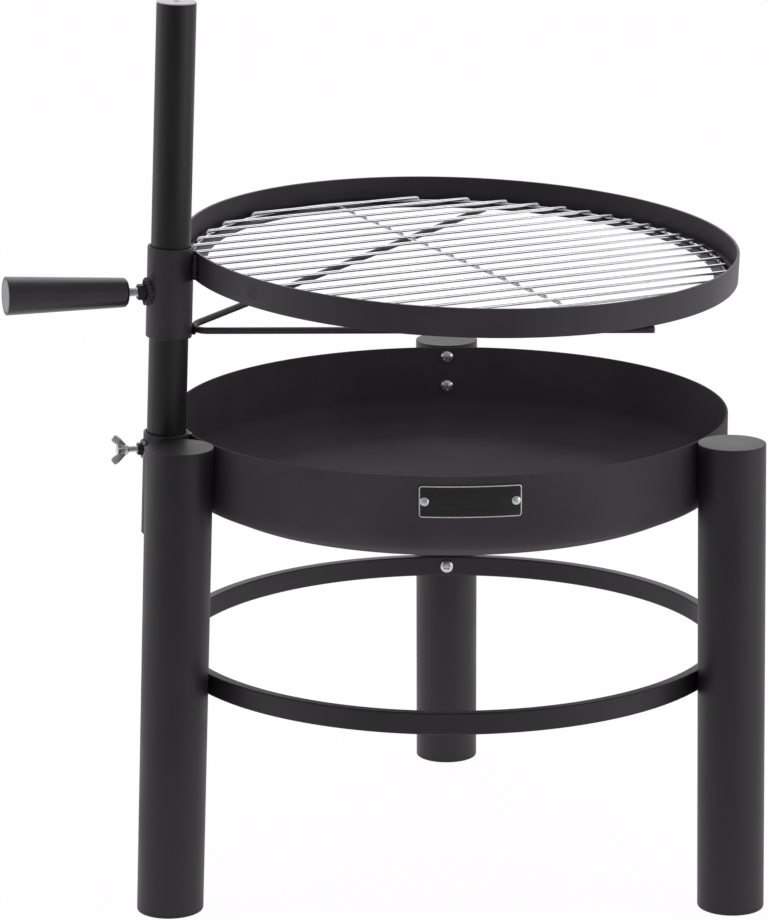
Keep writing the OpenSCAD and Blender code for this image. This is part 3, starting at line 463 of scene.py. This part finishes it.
edge = plateOutline(0)
face = plate["thickness"]
rows = ([rolled(edge * s, 0.0) for s in np.linspace(0, 0.999, 12)]
        + [rolled(edge, 0.08), rolled(edge, face - 0.1), rolled(plateOutline(0.1), face)]
        + [rolled(edge * s, face) for s in np.linspace(0.99, 0, 12)])
makePiece("barePlate", [gridParts(np.stack(rows))], plateFrame, blackAnodised, "stand",
          ("name_plate",))
linePoints = [rolled(plateOutline(plate["lineInset"] + inset), face + up) for inset, up in
              ((-0.5, -0.05), (-0.5, 0.1), (-0.3, 0.2), (0, 0.22), (0.3, 0.2), (0.5, 0.1), (0.5, -0.05))]
makePiece("plateEdgeLine", [gridParts(np.stack(linePoints), closeRows=True)], plateFrame, brightAluminium,
          "stand")
rivetParts = []
for side in (-1, 1):
    place = (bowlFrame @ turn("z", plate["direction"] + side * plate["rivetAngle"])
             @ shift(plateRadius + plate["thickness"], 0, stand["rimHeight"] - plate["drop"]) @ turn("y", 90))
    head = lathe([(0, 0.35), (0.55, 0.35), (0.7, 0.6), (0.8, 1.3), (1.05, 1.5), (2.1, 1.42), (3.1, 1.1),
                  (3.75, 0.65), (4.0, 0.25), (3.95, 0.05), (1.6, 0.05), (1.6, -3.05), (2.4, -3.05),
                  (2.4, -4.0), (1.8, -4.6), (0, -4.6)], 48)
    rivetParts.append(movedPart(head, place))
makePiece("blindRivets", rivetParts, np.eye(4), brightAluminium, "stand", ("plate_rivets",))
print("name plate made")


# A tube on the post: the outline of its wall with rounded ends, from (bore, low) round to (bore, high)
def tubeGrid(tube, low, high, edge):
    return lathe(rounded([(tube["bore"], low), (tube["radius"], low), (tube["radius"], high), (tube["bore"], high)],
                         edge, 5), 96)


socket = {"radius": 20.5, "bore": 18, "low": -90.95, "edge": 0.7, "nutDrop": 15.1, "nutFlats": 10,
          "nutHeight": 6, "nutBore": 3.05, "direction": 197}
makePiece("postSocket", [gridParts(tubeGrid(socket, socket["low"], 0, socket["edge"]), closeRows=True)],
          postFrame, powderCoat, "stand", ("post_socket",))

post = {"radius": 17.5, "bore": 16, "low": -88.4, "top": 384.2, "cap": 1, "capHole": 3, "capWall": 14,
        "capReach": 15.95, "capDepth": 14}
makePiece("postTube", [gridParts(tubeGrid(post, post["low"], post["top"], 0.25), closeRows=True)],
          postFrame, drawnEnamel, "post", ("post_tube",))
capTop, capUnder, capEnd = post["top"] + post["cap"], post["top"] - 1.2, post["top"] - post["capDepth"]
capSeat = post["top"] + 0.05
capOutline = rounded([(post["capHole"], capUnder), (post["capWall"], capUnder), (post["capWall"], capEnd),
                      (post["capReach"], capEnd), (post["capReach"], capSeat), (post["radius"], capSeat),
                      (post["radius"], capTop), (post["capHole"], capTop)],
                     [0.2, 0, 0.4, 0.4, 0, 0.15, 0.7, 0.3], 5)
makePiece("postCap", [gridParts(lathe(capOutline, 96), closeRows=True)], postFrame, greyPolythene, "post",
          ("post_cap",))
sleeve = {"radius": 20.5, "bore": 18, "low": 87.4, "high": 168.8, "edge": 0.8, "handleHeight": 127.9,
          "direction": 197, "nutFlats": 13, "nutHeight": 9, "nutBore": 4.05}
sleeveGrid = tubeGrid(sleeve, sleeve["low"], sleeve["high"], sleeve["edge"])
makePiece("sleeveTube", [gridParts(sleeveGrid, closeRows=True)], postFrame, grillCoatPaintedPaler, "grill",
          ("sleeve",))
print("post, socket and sleeve made")


# A hexagon nut: the radius at an angle is half the flats over the cosine from the nearest flat's middle, and
# both faces are cut by a cone that leaves a round rim
def hexNut(flats, height, bore):
    a = np.arange(120) * 2 * math.pi / 120
    hexRadius = flats / 2 / np.cos((a + math.pi / 6) % (math.pi / 3) - math.pi / 6)
    h = np.array([0, 0, 0.15, 0.35, 0.6, 0.9, 1.3])
    cone = (0.94 * flats / 2 + h / math.tan(math.radians(30)))[:, None]
    low = np.minimum(hexRadius, cone)
    low[0] = bore
    radius = np.concatenate([low, low[::-1]])
    z = np.concatenate([h, height - h[::-1]])[:, None] + 0 * a
    return np.stack([radius * np.cos(a), radius * np.sin(a), z], axis=-1)


# A screw thread: r = radius - depth * wave, a triangle wave of height / pitch less the part of a turn
def threadedRod(radius, pitch, low, high, sides=40):
    z = np.concatenate([[low], np.arange(low, high, pitch / 8), [high, high]])[:, None]
    a = np.arange(sides) * 2 * math.pi / sides
    wave = np.abs(((z / pitch - a / (2 * math.pi)) % 1) * 2 - 1)
    r = radius - 0.6 * pitch * wave
    r = np.minimum(r, radius - 0.55 * pitch + np.minimum(z - low, high - z))
    r[0], r[-1] = 0, 0
    r[-2] = r[-3] - 0.3
    return np.stack([r * np.cos(a), r * np.sin(a), z + 0 * a], axis=-1)


# Uneven lumps of about one size: the mean of six seeded waves in x and y, each a sine with its own way and start
def lumps(x, y, size, seed):
    rng = np.random.default_rng(seed)
    way, start = rng.uniform(0, 2 * math.pi, 6), rng.uniform(0, 2 * math.pi, 6)
    k = 2 * math.pi / (size * rng.uniform(0.7, 1.5, 6))
    return np.sin((x[..., None] * np.cos(way) + y[..., None] * np.sin(way)) * k + start).mean(-1) * 1.8


# A weld bead round a nut that stands on a tube: its path circles the nut on the tube's surface, and the bead
# swells and moves in even ripples, with a little seeded unevenness
def nutBead(tubeRadius, reach, size, seed):
    rng = np.random.default_rng(seed)
    n = 220
    a = np.arange(n) * 2 * math.pi / n
    wobble = np.interp(a, np.linspace(0, 2 * math.pi, 13), np.append(w := rng.uniform(-1, 1, 12), w[0]))
    ring = reach + 0.25 * wobble
    side, up = ring * np.cos(a), ring * np.sin(a)
    path = np.stack([up, side, np.sqrt(tubeRadius ** 2 - side ** 2) + 0.2], axis=-1)
    ripple = 1 + 0.07 * np.sin(a * 26) + 0.06 * wobble
    turnWay = np.arange(28) * 2 * math.pi / 28
    lumpX = (reach * np.cos(a))[:, None] + size * np.cos(turnWay)
    lumpY = (reach * np.sin(a))[:, None] + size * np.sin(turnWay)
    rough = 1 + 0.13 * lumps(lumpX, lumpY, 2.6, seed)
    section = (ripple[:, None] * rough)[..., None] * circle(size, 28)
    return along(path, section, np.array([0, 0, 1.0]), closed=True)


pinchFrame = sideFrame(socket["direction"], -socket["nutDrop"])
handleFrame = sideFrame(sleeve["direction"], sleeve["handleHeight"])
for name, place, tube, nodeName, body, slot, beadFinish, reach, size, seed in (
        ("pinchNut", pinchFrame, socket, "pinch_nut", "stand", "socket_coat", weldMetal, 6.6, 2.2, 3),
        ("studNut", handleFrame, sleeve, "stud_nut", "grill", "sleeve_coat", coatedWeldPaintedPaler, 8.8, 3.4, 5)):
    nut = hexNut(tube["nutFlats"], tube["nutHeight"], tube["nutBore"])
    nut[..., 2] += tube["radius"] + 0.05
    makePiece(name, [gridParts(nut, closeRows=True)], place, powderCoat, body, (nodeName,), sharpAngle=30)
    makePiece(name + "Bead", [gridParts(nutBead(tube["radius"], reach, size, seed), closeRows=True)], place,
              beadFinish, body, (nodeName + "_weld",))

# Wing screw: a threaded shank, a waisted hub and two stamped wings that rise from its foot. A wing is a flat
# section carried from root to tip: its half width follows a square root that rounds the tip off
wing = {"thread": 3, "bore": 3.05, "pitch": 1.0, "start": 17.8, "hubStart": 35.35, "threadInHub": 7.9, "turn": 3,
        "thickness": 2.5, "width": 7, "root": (2.4, 2.6), "tip": (11.6, 14.0)}
shank = threadedRod(wing["thread"], wing["pitch"], wing["start"], wing["hubStart"] + wing["threadInHub"])
makePiece("wingScrewThread", [gridParts(shank)], pinchFrame, zincPlate, "wing_shank",
          ("wing_screw_shank",), sharpAngle=60)
hub = lathe(rounded([(wing["bore"], 0), (4.7, 0), (4.1, 3), (4.2, 7), (4.6, 8.6), (4.6, 9.7), (2.2, 9.7),
                     (0, 9.9), (0, 8), (wing["bore"], 8)],
                    [0.2, 0.6, 1.5, 1.2, 0.4, 0.5, 0.6, 0, 0, 0], 5, closed=False), 64)
t = np.linspace(0, 1, 26)
(rootX, rootZ), (tipX, tipZ) = wing["root"], wing["tip"]
path = np.stack([rootX + (tipX - rootX) * t, 0 * t, rootZ + (tipZ - rootZ) * t ** 1.12], axis=-1)
roundOff = np.sqrt(np.clip(1 - np.clip((t - 0.8) / 0.2, 0, 1) ** 2.6, 0, 1))
width = wing["width"] / 2 * (0.62 + 0.38 * np.clip(t * 1.6, 0, 1)) * np.maximum(roundOff, 0.45)
squarish = np.sign(circle(1, 32)) * np.abs(circle(1, 32)) ** 0.3
section = np.stack([squarish[None, :, 0] * width[:, None],
                    squarish[None, :, 1] * wing["thickness"] / 2 * np.ones(len(t))[:, None]], axis=-1)
section[[0, -1]] *= 0
path[-1] = path[-2]
blade = along(path[:-1], section[:-1], np.array([0, 1.0, 0]))
blade = np.concatenate([blade, np.broadcast_to(blade[-1].mean(0), blade[-1:].shape)])
wingParts = [gridParts(hub, closeRows=True)]
wingParts += [movedPart(blade, turn("z", wing["turn"] + side)) for side in (0, 180)]
makePiece("wingScrewHead", wingParts, pinchFrame @ shift(0, 0, wing["hubStart"]), zincPlate, "wing_head",
          ("wing_screw_head",), sharpAngle=50)
print("wing screw made")

# Clamp handle: a threaded stud, a tapered grip turned from one outline, and a disc in its outer end
handle = {"stud": 4, "pitch": 1.25, "start": 17.8, "gripStart": 38.55, "hold": 40, "length": 108.9,
          "bore": 4.05, "innerRadius": 13, "outerRadius": 17, "chamfer": 2.5, "edge": 0.8,
          "discRadius": 14.5, "disc": 3}
makePiece("clampStudThread", [gridParts(threadedRod(handle["stud"], handle["pitch"], handle["start"],
                                                    handle["gripStart"] + handle["hold"]))],
          handleFrame, zincPlate, "stud", ("clamp_stud",), sharpAngle=60)
holeEnd, seatRadius = handle["hold"] + 0.3, handle["discRadius"] + 0.05
seatLevel = handle["length"] - handle["disc"] - 0.05
gripOutline = rounded([(handle["bore"], holeEnd), (handle["bore"], 0),
                       (handle["innerRadius"] - handle["chamfer"], 0),
                       (handle["innerRadius"], handle["chamfer"]), (handle["outerRadius"], handle["length"]),
                       (seatRadius, handle["length"]), (seatRadius, seatLevel), (0, seatLevel), (0, holeEnd)],
                      [0, 0.5, 1.0, 1.6, handle["edge"], 0.3, 0, 0, 0], 5)
makePiece("gripBody", [gridParts(lathe(gripOutline, 128), closeRows=True)],
          handleFrame @ shift(0, 0, handle["gripStart"]), gripPhenolic, "handle", ("grip",))
discOutline = rounded([(0, 0), (handle["discRadius"], 0), (handle["discRadius"], handle["disc"]),
                       (0, handle["disc"])], [0, 0.2, 0.5, 0], 5, False)
discFrame = handleFrame @ shift(0, 0, handle["gripStart"] + handle["length"] - handle["disc"])
makePiece("gripEndDisc", [gridParts(lathe(discOutline, 128))], discFrame, discPolythene, "handle",
          ("grip_disc",))
print("handle made")

# Grill ring: rolled strip with an inward ledge along its lower edge
ring = {"centre": 271.477, "radius": 250, "height": 25.5, "wall": 2.5, "ledge": 22, "low": 47.9, "edge": 0.5}
ringInside, ledgeInside = ring["radius"] - ring["wall"], ring["radius"] - ring["ledge"]
ringSection = rounded([(ledgeInside, 0), (ring["radius"], 0), (ring["radius"], ring["height"]),
                       (ringInside, ring["height"]), (ringInside, ring["wall"]), (ledgeInside, ring["wall"])],
                      [ring["edge"], ring["edge"], ring["edge"], ring["edge"], 0.8, ring["edge"]], 5)
ringFrame = grillFrame @ shift(ring["centre"], 0, ring["low"])
makePiece("rolledRing", [gridParts(lathe(ringSection, 320), closeRows=True)], ringFrame, grillCoatPaintedPaler, "grill",
          ("grill_ring",), sharpAngle=45)

# Support rod: round bar bent to a V. Its path runs down one arm, round the bend and up the other
rod = {"radius": 3, "spread": 63.8, "turn": 0.9, "bend": 17.5, "apex": 8.2082, "pitch": 6.90858,
       "length": 429.525}
half = math.radians(rod["spread"] / 2)
tangent, bendX = rod["bend"] / math.tan(half), rod["apex"] + rod["bend"] / math.sin(half)
armRun = np.linspace(rod["length"], tangent, 12)[:, None]
armWay = np.array([math.cos(half), math.sin(half), 0.0])
lowArm = np.array([rod["apex"], 0, 0]) + armRun * armWay * [1, -1, 1]
bendAngles = np.linspace(-math.pi / 2 - half, -3 * math.pi / 2 + half, 26)[1:-1]
bendPath = np.stack([bendX + rod["bend"] * np.cos(bendAngles), rod["bend"] * np.sin(bendAngles), 0 * bendAngles],
                    axis=-1)
rodPath = np.concatenate([lowArm, bendPath, (lowArm * [1, -1, 1])[::-1]])
rodFrame = grillFrame @ turn("z", -rod["turn"]) @ turn("y", -rod["pitch"])
upwards = np.array([0, 0, 1.0])
makePiece("bentRod", [gridParts(wire(rodPath, rod["radius"], upwards))], rodFrame, grillCoatPaintedPaler, "grill",
          ("support_rod",))
print("ring and rod made")


# A weld bead along a path: a round section that swells in ripples a few millimetres long and fades at its ends
def weldBead(path, size, up, seed, rippleLength=2.2):
    rng = np.random.default_rng(seed)
    step = np.linalg.norm(np.diff(path, axis=0), axis=1)
    run = np.concatenate([[0], np.cumsum(step)])
    fade = np.sqrt(np.clip(np.minimum(run, run[-1] - run) / (size * 1.2), 0, 1))
    drift = rng.standard_normal(len(run)).cumsum() / 12
    swell = 1 + 0.08 * np.sin(run * 2 * math.pi / rippleLength) + 0.05 * drift
    turnWay = np.arange(24) * math.pi / 12
    rough = 1 + 0.14 * lumps(run[:, None] + 0 * turnWay, size * np.sin(turnWay) + 0 * run[:, None], 2.8, seed)
    section = (fade * swell)[:, None, None] * rough[..., None] * circle(size, 24)
    return along(path, section, up)


# Two circles a distance apart meet at this angle from the line between them, seen from the near one's centre:
# cos angle = (near^2 + apart^2 - far^2) / (2 near apart)
def meetingAngle(near, far, apart):
    return np.arccos((near ** 2 + apart ** 2 - far ** 2) / (2 * near * apart))


# Welds that the coat covers: socket to leg, ring to sleeve, rod to sleeve and rod to ring. The bead's middle
# stands off both surfaces by standOff
weld = {"standOff": 2.1, "socket": 3.0, "ring": 2.9, "rodSleeve": 1.7, "rodRing": 1.5, "rodRun": 13}
leftDirection, leftLean, leftTowards = leg["stances"]["leg_left"]
legAxis = (bowlFrame @ turn("z", leftDirection) @ shift(stand["legAxisRadius"], 0, stand["rimHeight"])
           @ turn("z", leftTowards - leftDirection) @ turn("y", -leftLean))
legWay, legPoint = (np.linalg.inv(postFrame) @ legAxis)[:3, 2:].T
z = np.linspace(socket["low"] + 4, -8, 150)
legX, legY = (legPoint[i] + (z - legPoint[2]) * legWay[i] / legWay[2] for i in (0, 1))
grooves = []
for side in (-1, 1):
    near, far = socket["radius"] + weld["standOff"], leg["radius"] + weld["standOff"]
    bend = np.arctan2(legY, legX) + side * meetingAngle(near, far, np.hypot(legX, legY))
    path = np.stack([near * np.cos(bend), near * np.sin(bend), z], axis=-1)
    outwards = np.array([math.cos(bend[0]), math.sin(bend[0]), 0])
    grooves.append(gridParts(weldBead(path, weld["socket"], outwards, 11 + side)))
makePiece("socketBeads", grooves, postFrame, coatedWeldPaintedPaler, "stand", ("socket_welds",))

# A tack at the top, between the socket and the bowl's rim: a ball drawn out along its seam
tack = {"direction": 21.754, "reach": 20.9, "level": -4.0, "radii": (3.2, 4.4, 1.9)}
tackAngle = math.radians(tack["direction"])
u, v = np.meshgrid(np.linspace(0, math.pi, 14), np.arange(24) * 2 * math.pi / 24, indexing="ij")
ball = np.stack([np.sin(u) * np.cos(v), np.sin(u) * np.sin(v), np.cos(u)], axis=-1)
tackMiddle = np.array([tack["reach"] * math.cos(tackAngle), tack["reach"] * math.sin(tackAngle), tack["level"]])
makePiece("rimTack", [gridParts(tackMiddle + ball * tack["radii"])], postFrame, weldMetal, "stand")

ringBeads = []
middle = ring["low"] + ring["height"] / 2
leanX, leanY = (middle * math.tan(math.radians(grill[way])) for way in ("pitch", "roll"))
for side in (-1, 1):
    near, far = sleeve["radius"] + weld["standOff"], ring["radius"] + weld["standOff"]
    bend = side * meetingAngle(near, far, sleeve["radius"] + ring["radius"])
    z = np.linspace(ring["low"] + 1.5, ring["low"] + ring["height"] - 1.5, 60)
    path = np.stack([leanX + near * np.cos(bend) + 0 * z, leanY + near * np.sin(bend) + 0 * z, z], axis=-1)
    ringBeads.append(gridParts(weldBead(path, weld["ring"], np.array([1.0, 0, 0]), 21 + side)))
# These beads take the weld finish's painted light: paler, against the shade between ring and sleeve
makePiece("ringBeads", ringBeads, grillFrame, coatedWeldPaintedPaler, "grill", ("ring_welds",))

# A patch of spatter under the coat, where the strip's ends were joined: a low mound on the outer face,
# r = radius + height * (1 - rho^4) * (1 + lumps), closed by a flat back inside the wall
spatter = {"direction": 204.6, "halfWidth": 8.0, "halfHeight": 6.5, "level": 12.0, "height": 0.35, "back": 0.6}
rho = np.concatenate([np.linspace(0, 1, 26), np.linspace(1, 0, 4)])[:, None]
a = np.arange(60) * 2 * math.pi / 60
patchX = spatter["halfWidth"] * rho * np.cos(a)
patchZ = spatter["level"] + spatter["halfHeight"] * rho * np.sin(a)
rise = spatter["height"] * np.clip(1 - rho ** 4, 0, 1) * (1 + lumps(patchX, patchZ, 2.6, 9)) - 0.05
rise[26:] = -spatter["back"]
patchAngle = math.radians(spatter["direction"]) + patchX / ring["radius"]
patchReach = ring["radius"] + rise
patch = np.stack([patchReach * np.cos(patchAngle), patchReach * np.sin(patchAngle), patchZ], axis=-1)
makePiece("ringSeamSpatter", [gridParts(patch)], ringFrame, coatedWeldPaintedPaler, "grill", sharpAngle=180)

rodBeads = []
for side in (-1, 1):
    y = np.linspace(-6, 6, 40)
    path = np.stack([sleeve["radius"] + 1.1 + y ** 2 * 0.004, y, side * (rod["radius"] + 0.1) + 0 * y], axis=-1)
    rodBeads.append(gridParts(weldBead(path, weld["rodSleeve"], upwards, 31 + side, 1.6)))
    end = np.array([rod["apex"] + rod["length"] * math.cos(half), side * rod["length"] * math.sin(half), 0])
    armEndWay = armWay * [1, side, 1]
    across = np.array([-armEndWay[1], armEndWay[0], 0])
    for flank in (-1, 1):
        run = np.linspace(-weld["rodRun"], -0.5, 40)[:, None]
        path = end + run * armEndWay + flank * across * rod["radius"] + np.array([0, 0, 1.9])
        rodBeads.append(gridParts(weldBead(path, weld["rodRing"], upwards, 41 + side + 2 * flank, 1.6)))
makePiece("rodBeads", rodBeads, rodFrame, coatedWeldPaintedPaler, "grill", ("rod_welds",))
print("welds made")

# Grate: straight wires whose ends hook down round a rim wire, and one cross wire under them
grate = {"wire": 1.5, "pitch": 22.5, "count": 21, "tip": 242.6, "hook": 3.05, "level": 52.2, "slipIn": 2.1,
         "slipSide": 2.1, "turn": 11.9, "crossOffset": 5, "crossHalf": 237.91}
rimWireRadius = grate["tip"] - grate["hook"]
grateFrame = (grillFrame @ shift(ring["centre"] - grate["slipIn"], -grate["slipSide"], 0)
              @ turn("z", grate["turn"]))
level, hook = grate["level"], grate["hook"]
y = ((np.arange(grate["count"]) - (grate["count"] - 1) / 2) * grate["pitch"])[:, None]
reach = np.sqrt(grate["tip"] ** 2 - y ** 2)
bendAngles = np.radians(np.linspace(90, 0, 9))[None, :]
hookX = np.concatenate([reach + 0 * bendAngles[:, :2], reach - hook + hook * np.sin(bendAngles)], axis=1)
hookZ = np.concatenate([level - grate["wire"] + 0.05 + 0 * y, level - 0.6 + 0 * y,
                        level + hook * np.cos(bendAngles) + 0 * y], axis=1)
straight = np.linspace(1, -1, 9)[None, 1:-1] * (reach - hook - 0.5)
barX = np.concatenate([hookX, straight, -hookX[:, ::-1]], axis=1)
barZ = np.concatenate([hookZ, level + hook + 0 * straight, hookZ[:, ::-1]], axis=1)
barPath = np.stack([barX, y + 0 * barX, barZ], axis=-1)
makePiece("hookedWires", [gridParts(wire(barPath, grate["wire"], np.array([0, 1.0, 0]), 20))], grateFrame,
          chromePlate, "grate", ("grate_bars",))
a = np.arange(360) * 2 * math.pi / 360
rimPath = np.stack([rimWireRadius * np.cos(a), rimWireRadius * np.sin(a), level + 0 * a], axis=-1)
rimGrid = along(rimPath, circle(grate["wire"], 20), upwards, True)
makePiece("rimWire", [gridParts(rimGrid, closeRows=True)], grateFrame, chromePlate, "grate",
          ("grate_rim_wire",))
run = np.linspace(-grate["crossHalf"], grate["crossHalf"], 21)
crossPath = np.stack([grate["crossOffset"] + 0 * run, run, level + 0 * run], axis=-1)
makePiece("crossWire", [gridParts(wire(crossPath, grate["wire"], upwards, 20))], grateFrame, chromePlate,
          "grate", ("grate_cross_wire",))

# Spot welds: a small flattened blob of squeezed metal at each crossing of two wires
rimX = np.sqrt(rimWireRadius ** 2 - y ** 2)
crossings = np.concatenate([np.concatenate([x, y, 0 * y + level + grate["wire"]], axis=1)
                            for x in (rimX, -rimX, 0 * y + grate["crossOffset"])])
u, v = np.meshgrid(np.linspace(0, math.pi, 6), np.arange(8) * 2 * math.pi / 8, indexing="ij")
blob = np.stack([1.9 * np.sin(u) * np.cos(v), 1.8 * np.sin(u) * np.sin(v), 0.6 * np.cos(u)], axis=-1)
makePiece("spotWelds", [gridParts(crossings[:, None, None, :] + blob)], grateFrame, chromePlate, "grate")
print("grate made")

# Floor: a pale sheet that keeps a soft shadow and is white to the camera. To other rays its colour darkens towards
# the camera, a painted shade for a dim studio in front, and near the object it glows, a painted light on the
# object's undersides
floorMesh = bpy.data.meshes.new("floor")
floorMesh.from_pydata([(-14, -14, 0), (14, -14, 0), (14, 14, 0), (-14, 14, 0)], [], [(0, 1, 2, 3)])
floor = bpy.data.objects.new("floor", floorMesh)
bpy.context.scene.collection.objects.link(floor)
paper = bpy.data.materials.new("backdropPaperWithPaintedShadeAndGlow")
paper.use_nodes = True
tree = paper.node_tree
tree.nodes.clear()
rays = addNode(tree, "ShaderNodeLightPath")
place = addNode(tree, "ShaderNodeTexCoord").outputs["Object"]
ground = addNode(tree, "ShaderNodeSeparateXYZ", {}, {"Vector": place})
# Painted shade: the sheet's colour falls from pale near the object to dark towards the camera, as a dim studio in
# front would look
fade = addNode(tree, "ShaderNodeMapRange", {"From Min": -3.0, "From Max": -0.6, "To Min": 0.35, "To Max": 0.9,
                                            "interpolation_type": "SMOOTHSTEP"}, {"Value": ground.outputs["Y"]})
# Painted light: near the object the sheet glows for every ray and lights the object from below
near = addNode(tree, "ShaderNodeMapRange", {"From Min": -1.0, "From Max": 0.0, "To Min": 0.0, "To Max": 0.7,
                                            "interpolation_type": "SMOOTHSTEP"}, {"Value": ground.outputs["Y"]})
sheet = addNode(tree, "ShaderNodeBsdfDiffuse", {}, {"Color": fade.outputs["Result"]})
glow = addNode(tree, "ShaderNodeEmission", {"Color": (1, 0.985, 1, 1), "Strength": 1.035})
share = addNode(tree, "ShaderNodeMath", {"operation": "MULTIPLY", 1: 0.94}, {0: rays.outputs["Is Camera Ray"]})
share = addNode(tree, "ShaderNodeMath", {"operation": "MAXIMUM"},
                {0: share.outputs["Value"], 1: near.outputs["Result"]})
mixed = addNode(tree, "ShaderNodeMixShader", {}, {0: share.outputs["Value"], 1: sheet.outputs["BSDF"],
                                                   2: glow.outputs["Emission"]})
addNode(tree, "ShaderNodeOutputMaterial", {}, {"Surface": mixed.outputs["Shader"]})
floorMesh.materials.append(paper)

# World: white behind the object, and a dim studio in front of it, as black surfaces show both
world = bpy.data.worlds.new("studio")
bpy.context.scene.world = world
world.use_nodes = True
tree = world.node_tree
tree.nodes.clear()
rays = addNode(tree, "ShaderNodeLightPath")
way = addNode(tree, "ShaderNodeTexCoord").outputs["Generated"]
parts = addNode(tree, "ShaderNodeSeparateXYZ", {}, {"Vector": way})
near = addNode(tree, "ShaderNodeMapRange", {"From Min": -0.2, "From Max": 0.97}, {"Value": parts.outputs["Y"]})
curve = addNode(tree, "ShaderNodeMath", {"operation": "POWER", 1: 1.6}, {0: near.outputs["Result"]})
depth = addNode(tree, "ShaderNodeMapRange", {"To Min": 0.36, "To Max": 1.25}, {"Value": curve.outputs["Value"]})
strength = addNode(tree, "ShaderNodeMath", {"operation": "MAXIMUM"},
                   {0: depth.outputs["Result"], 1: rays.outputs["Is Camera Ray"]})
sky = addNode(tree, "ShaderNodeBackground", {"Color": (1, 1, 1, 1)}, {"Strength": strength.outputs["Value"]})
addNode(tree, "ShaderNodeOutputWorld", {}, {"Surface": sky.outputs["Background"]})


# Soft lamps, each a rectangle that looks at one point of the object
def softLamp(name, position, target, size, power):
    light = bpy.data.lights.new(name, "AREA")
    light.shape, light.size, light.size_y, light.energy = "RECTANGLE", size[0], size[1], power
    lamp = bpy.data.objects.new(name, light)
    forward = np.array(target, float) - position
    lamp.location = position
    lamp.rotation_mode = "QUATERNION"
    lamp.rotation_quaternion = Vector(forward).to_track_quat("-Z", "Y")
    bpy.context.scene.collection.objects.link(lamp)


softLamp("topBank", (0.1, 1.4, 2.4), (0, 0, 0.3), (3.0, 2.0), 16)
softLamp("leftBank", (-2.6, 0.3, 0.9), (0, 0, 0.4), (0.8, 1.8), 4)
softLamp("leftFill", (-2.3, -1.2, 0.9), (0, 0, 0.4), (1.0, 1.6), 2.5)
softLamp("rightBank", (2.4, -1.1, 0.8), (0, 0, 0.4), (1.2, 1.6), 9)
softLamp("stripBank", (1.42, -1.81, 0.5), (0, 0, 0.4), (0.3, 1.0), 1.5)

# Camera: where the photograph was taken from, found from the tubes, the rim and the rings
view = {"distance": 3631.563, "direction": -0.77124, "height": 1302.497, "yaw": 0.96077, "pitch": 14.2722,
        "roll": -0.20843, "focalPixels": 4084.62, "framePixels": 920}
side = math.radians(view["direction"])
eye = bowlFrame[:3, 3] + [view["distance"] * math.sin(side), -view["distance"] * math.cos(side), view["height"]]
heading, down = math.radians(view["yaw"] + view["direction"]), math.radians(view["pitch"])
forward = np.array([-math.sin(heading) * math.cos(down), math.cos(heading) * math.cos(down), -math.sin(down)])
right = np.array([math.cos(heading), math.sin(heading), 0])
up = np.cross(right, forward)
roll = math.radians(view["roll"])
levelRight, levelUp = math.cos(roll) * right + math.sin(roll) * up, math.cos(roll) * up - math.sin(roll) * right
cameraData = bpy.data.cameras.new("camera")
cameraData.sensor_width, cameraData.lens = 36, view["focalPixels"] * 36 / view["framePixels"]
cameraData.clip_start, cameraData.clip_end = 0.1, 60
camera = bpy.data.objects.new("camera", cameraData)
bpy.context.scene.collection.objects.link(camera)
turned = np.stack([levelRight, levelUp, -forward], axis=1).tolist()
camera.matrix_world = Matrix([[*row, place] for row, place in zip(turned, (eye * 0.001).tolist())] + [[0, 0, 0, 1]])
bpy.context.scene.camera = camera
bpy.context.scene.view_settings.view_transform = "Standard"
print("stage, lamps and camera made")

bpy.context.view_layer.update()
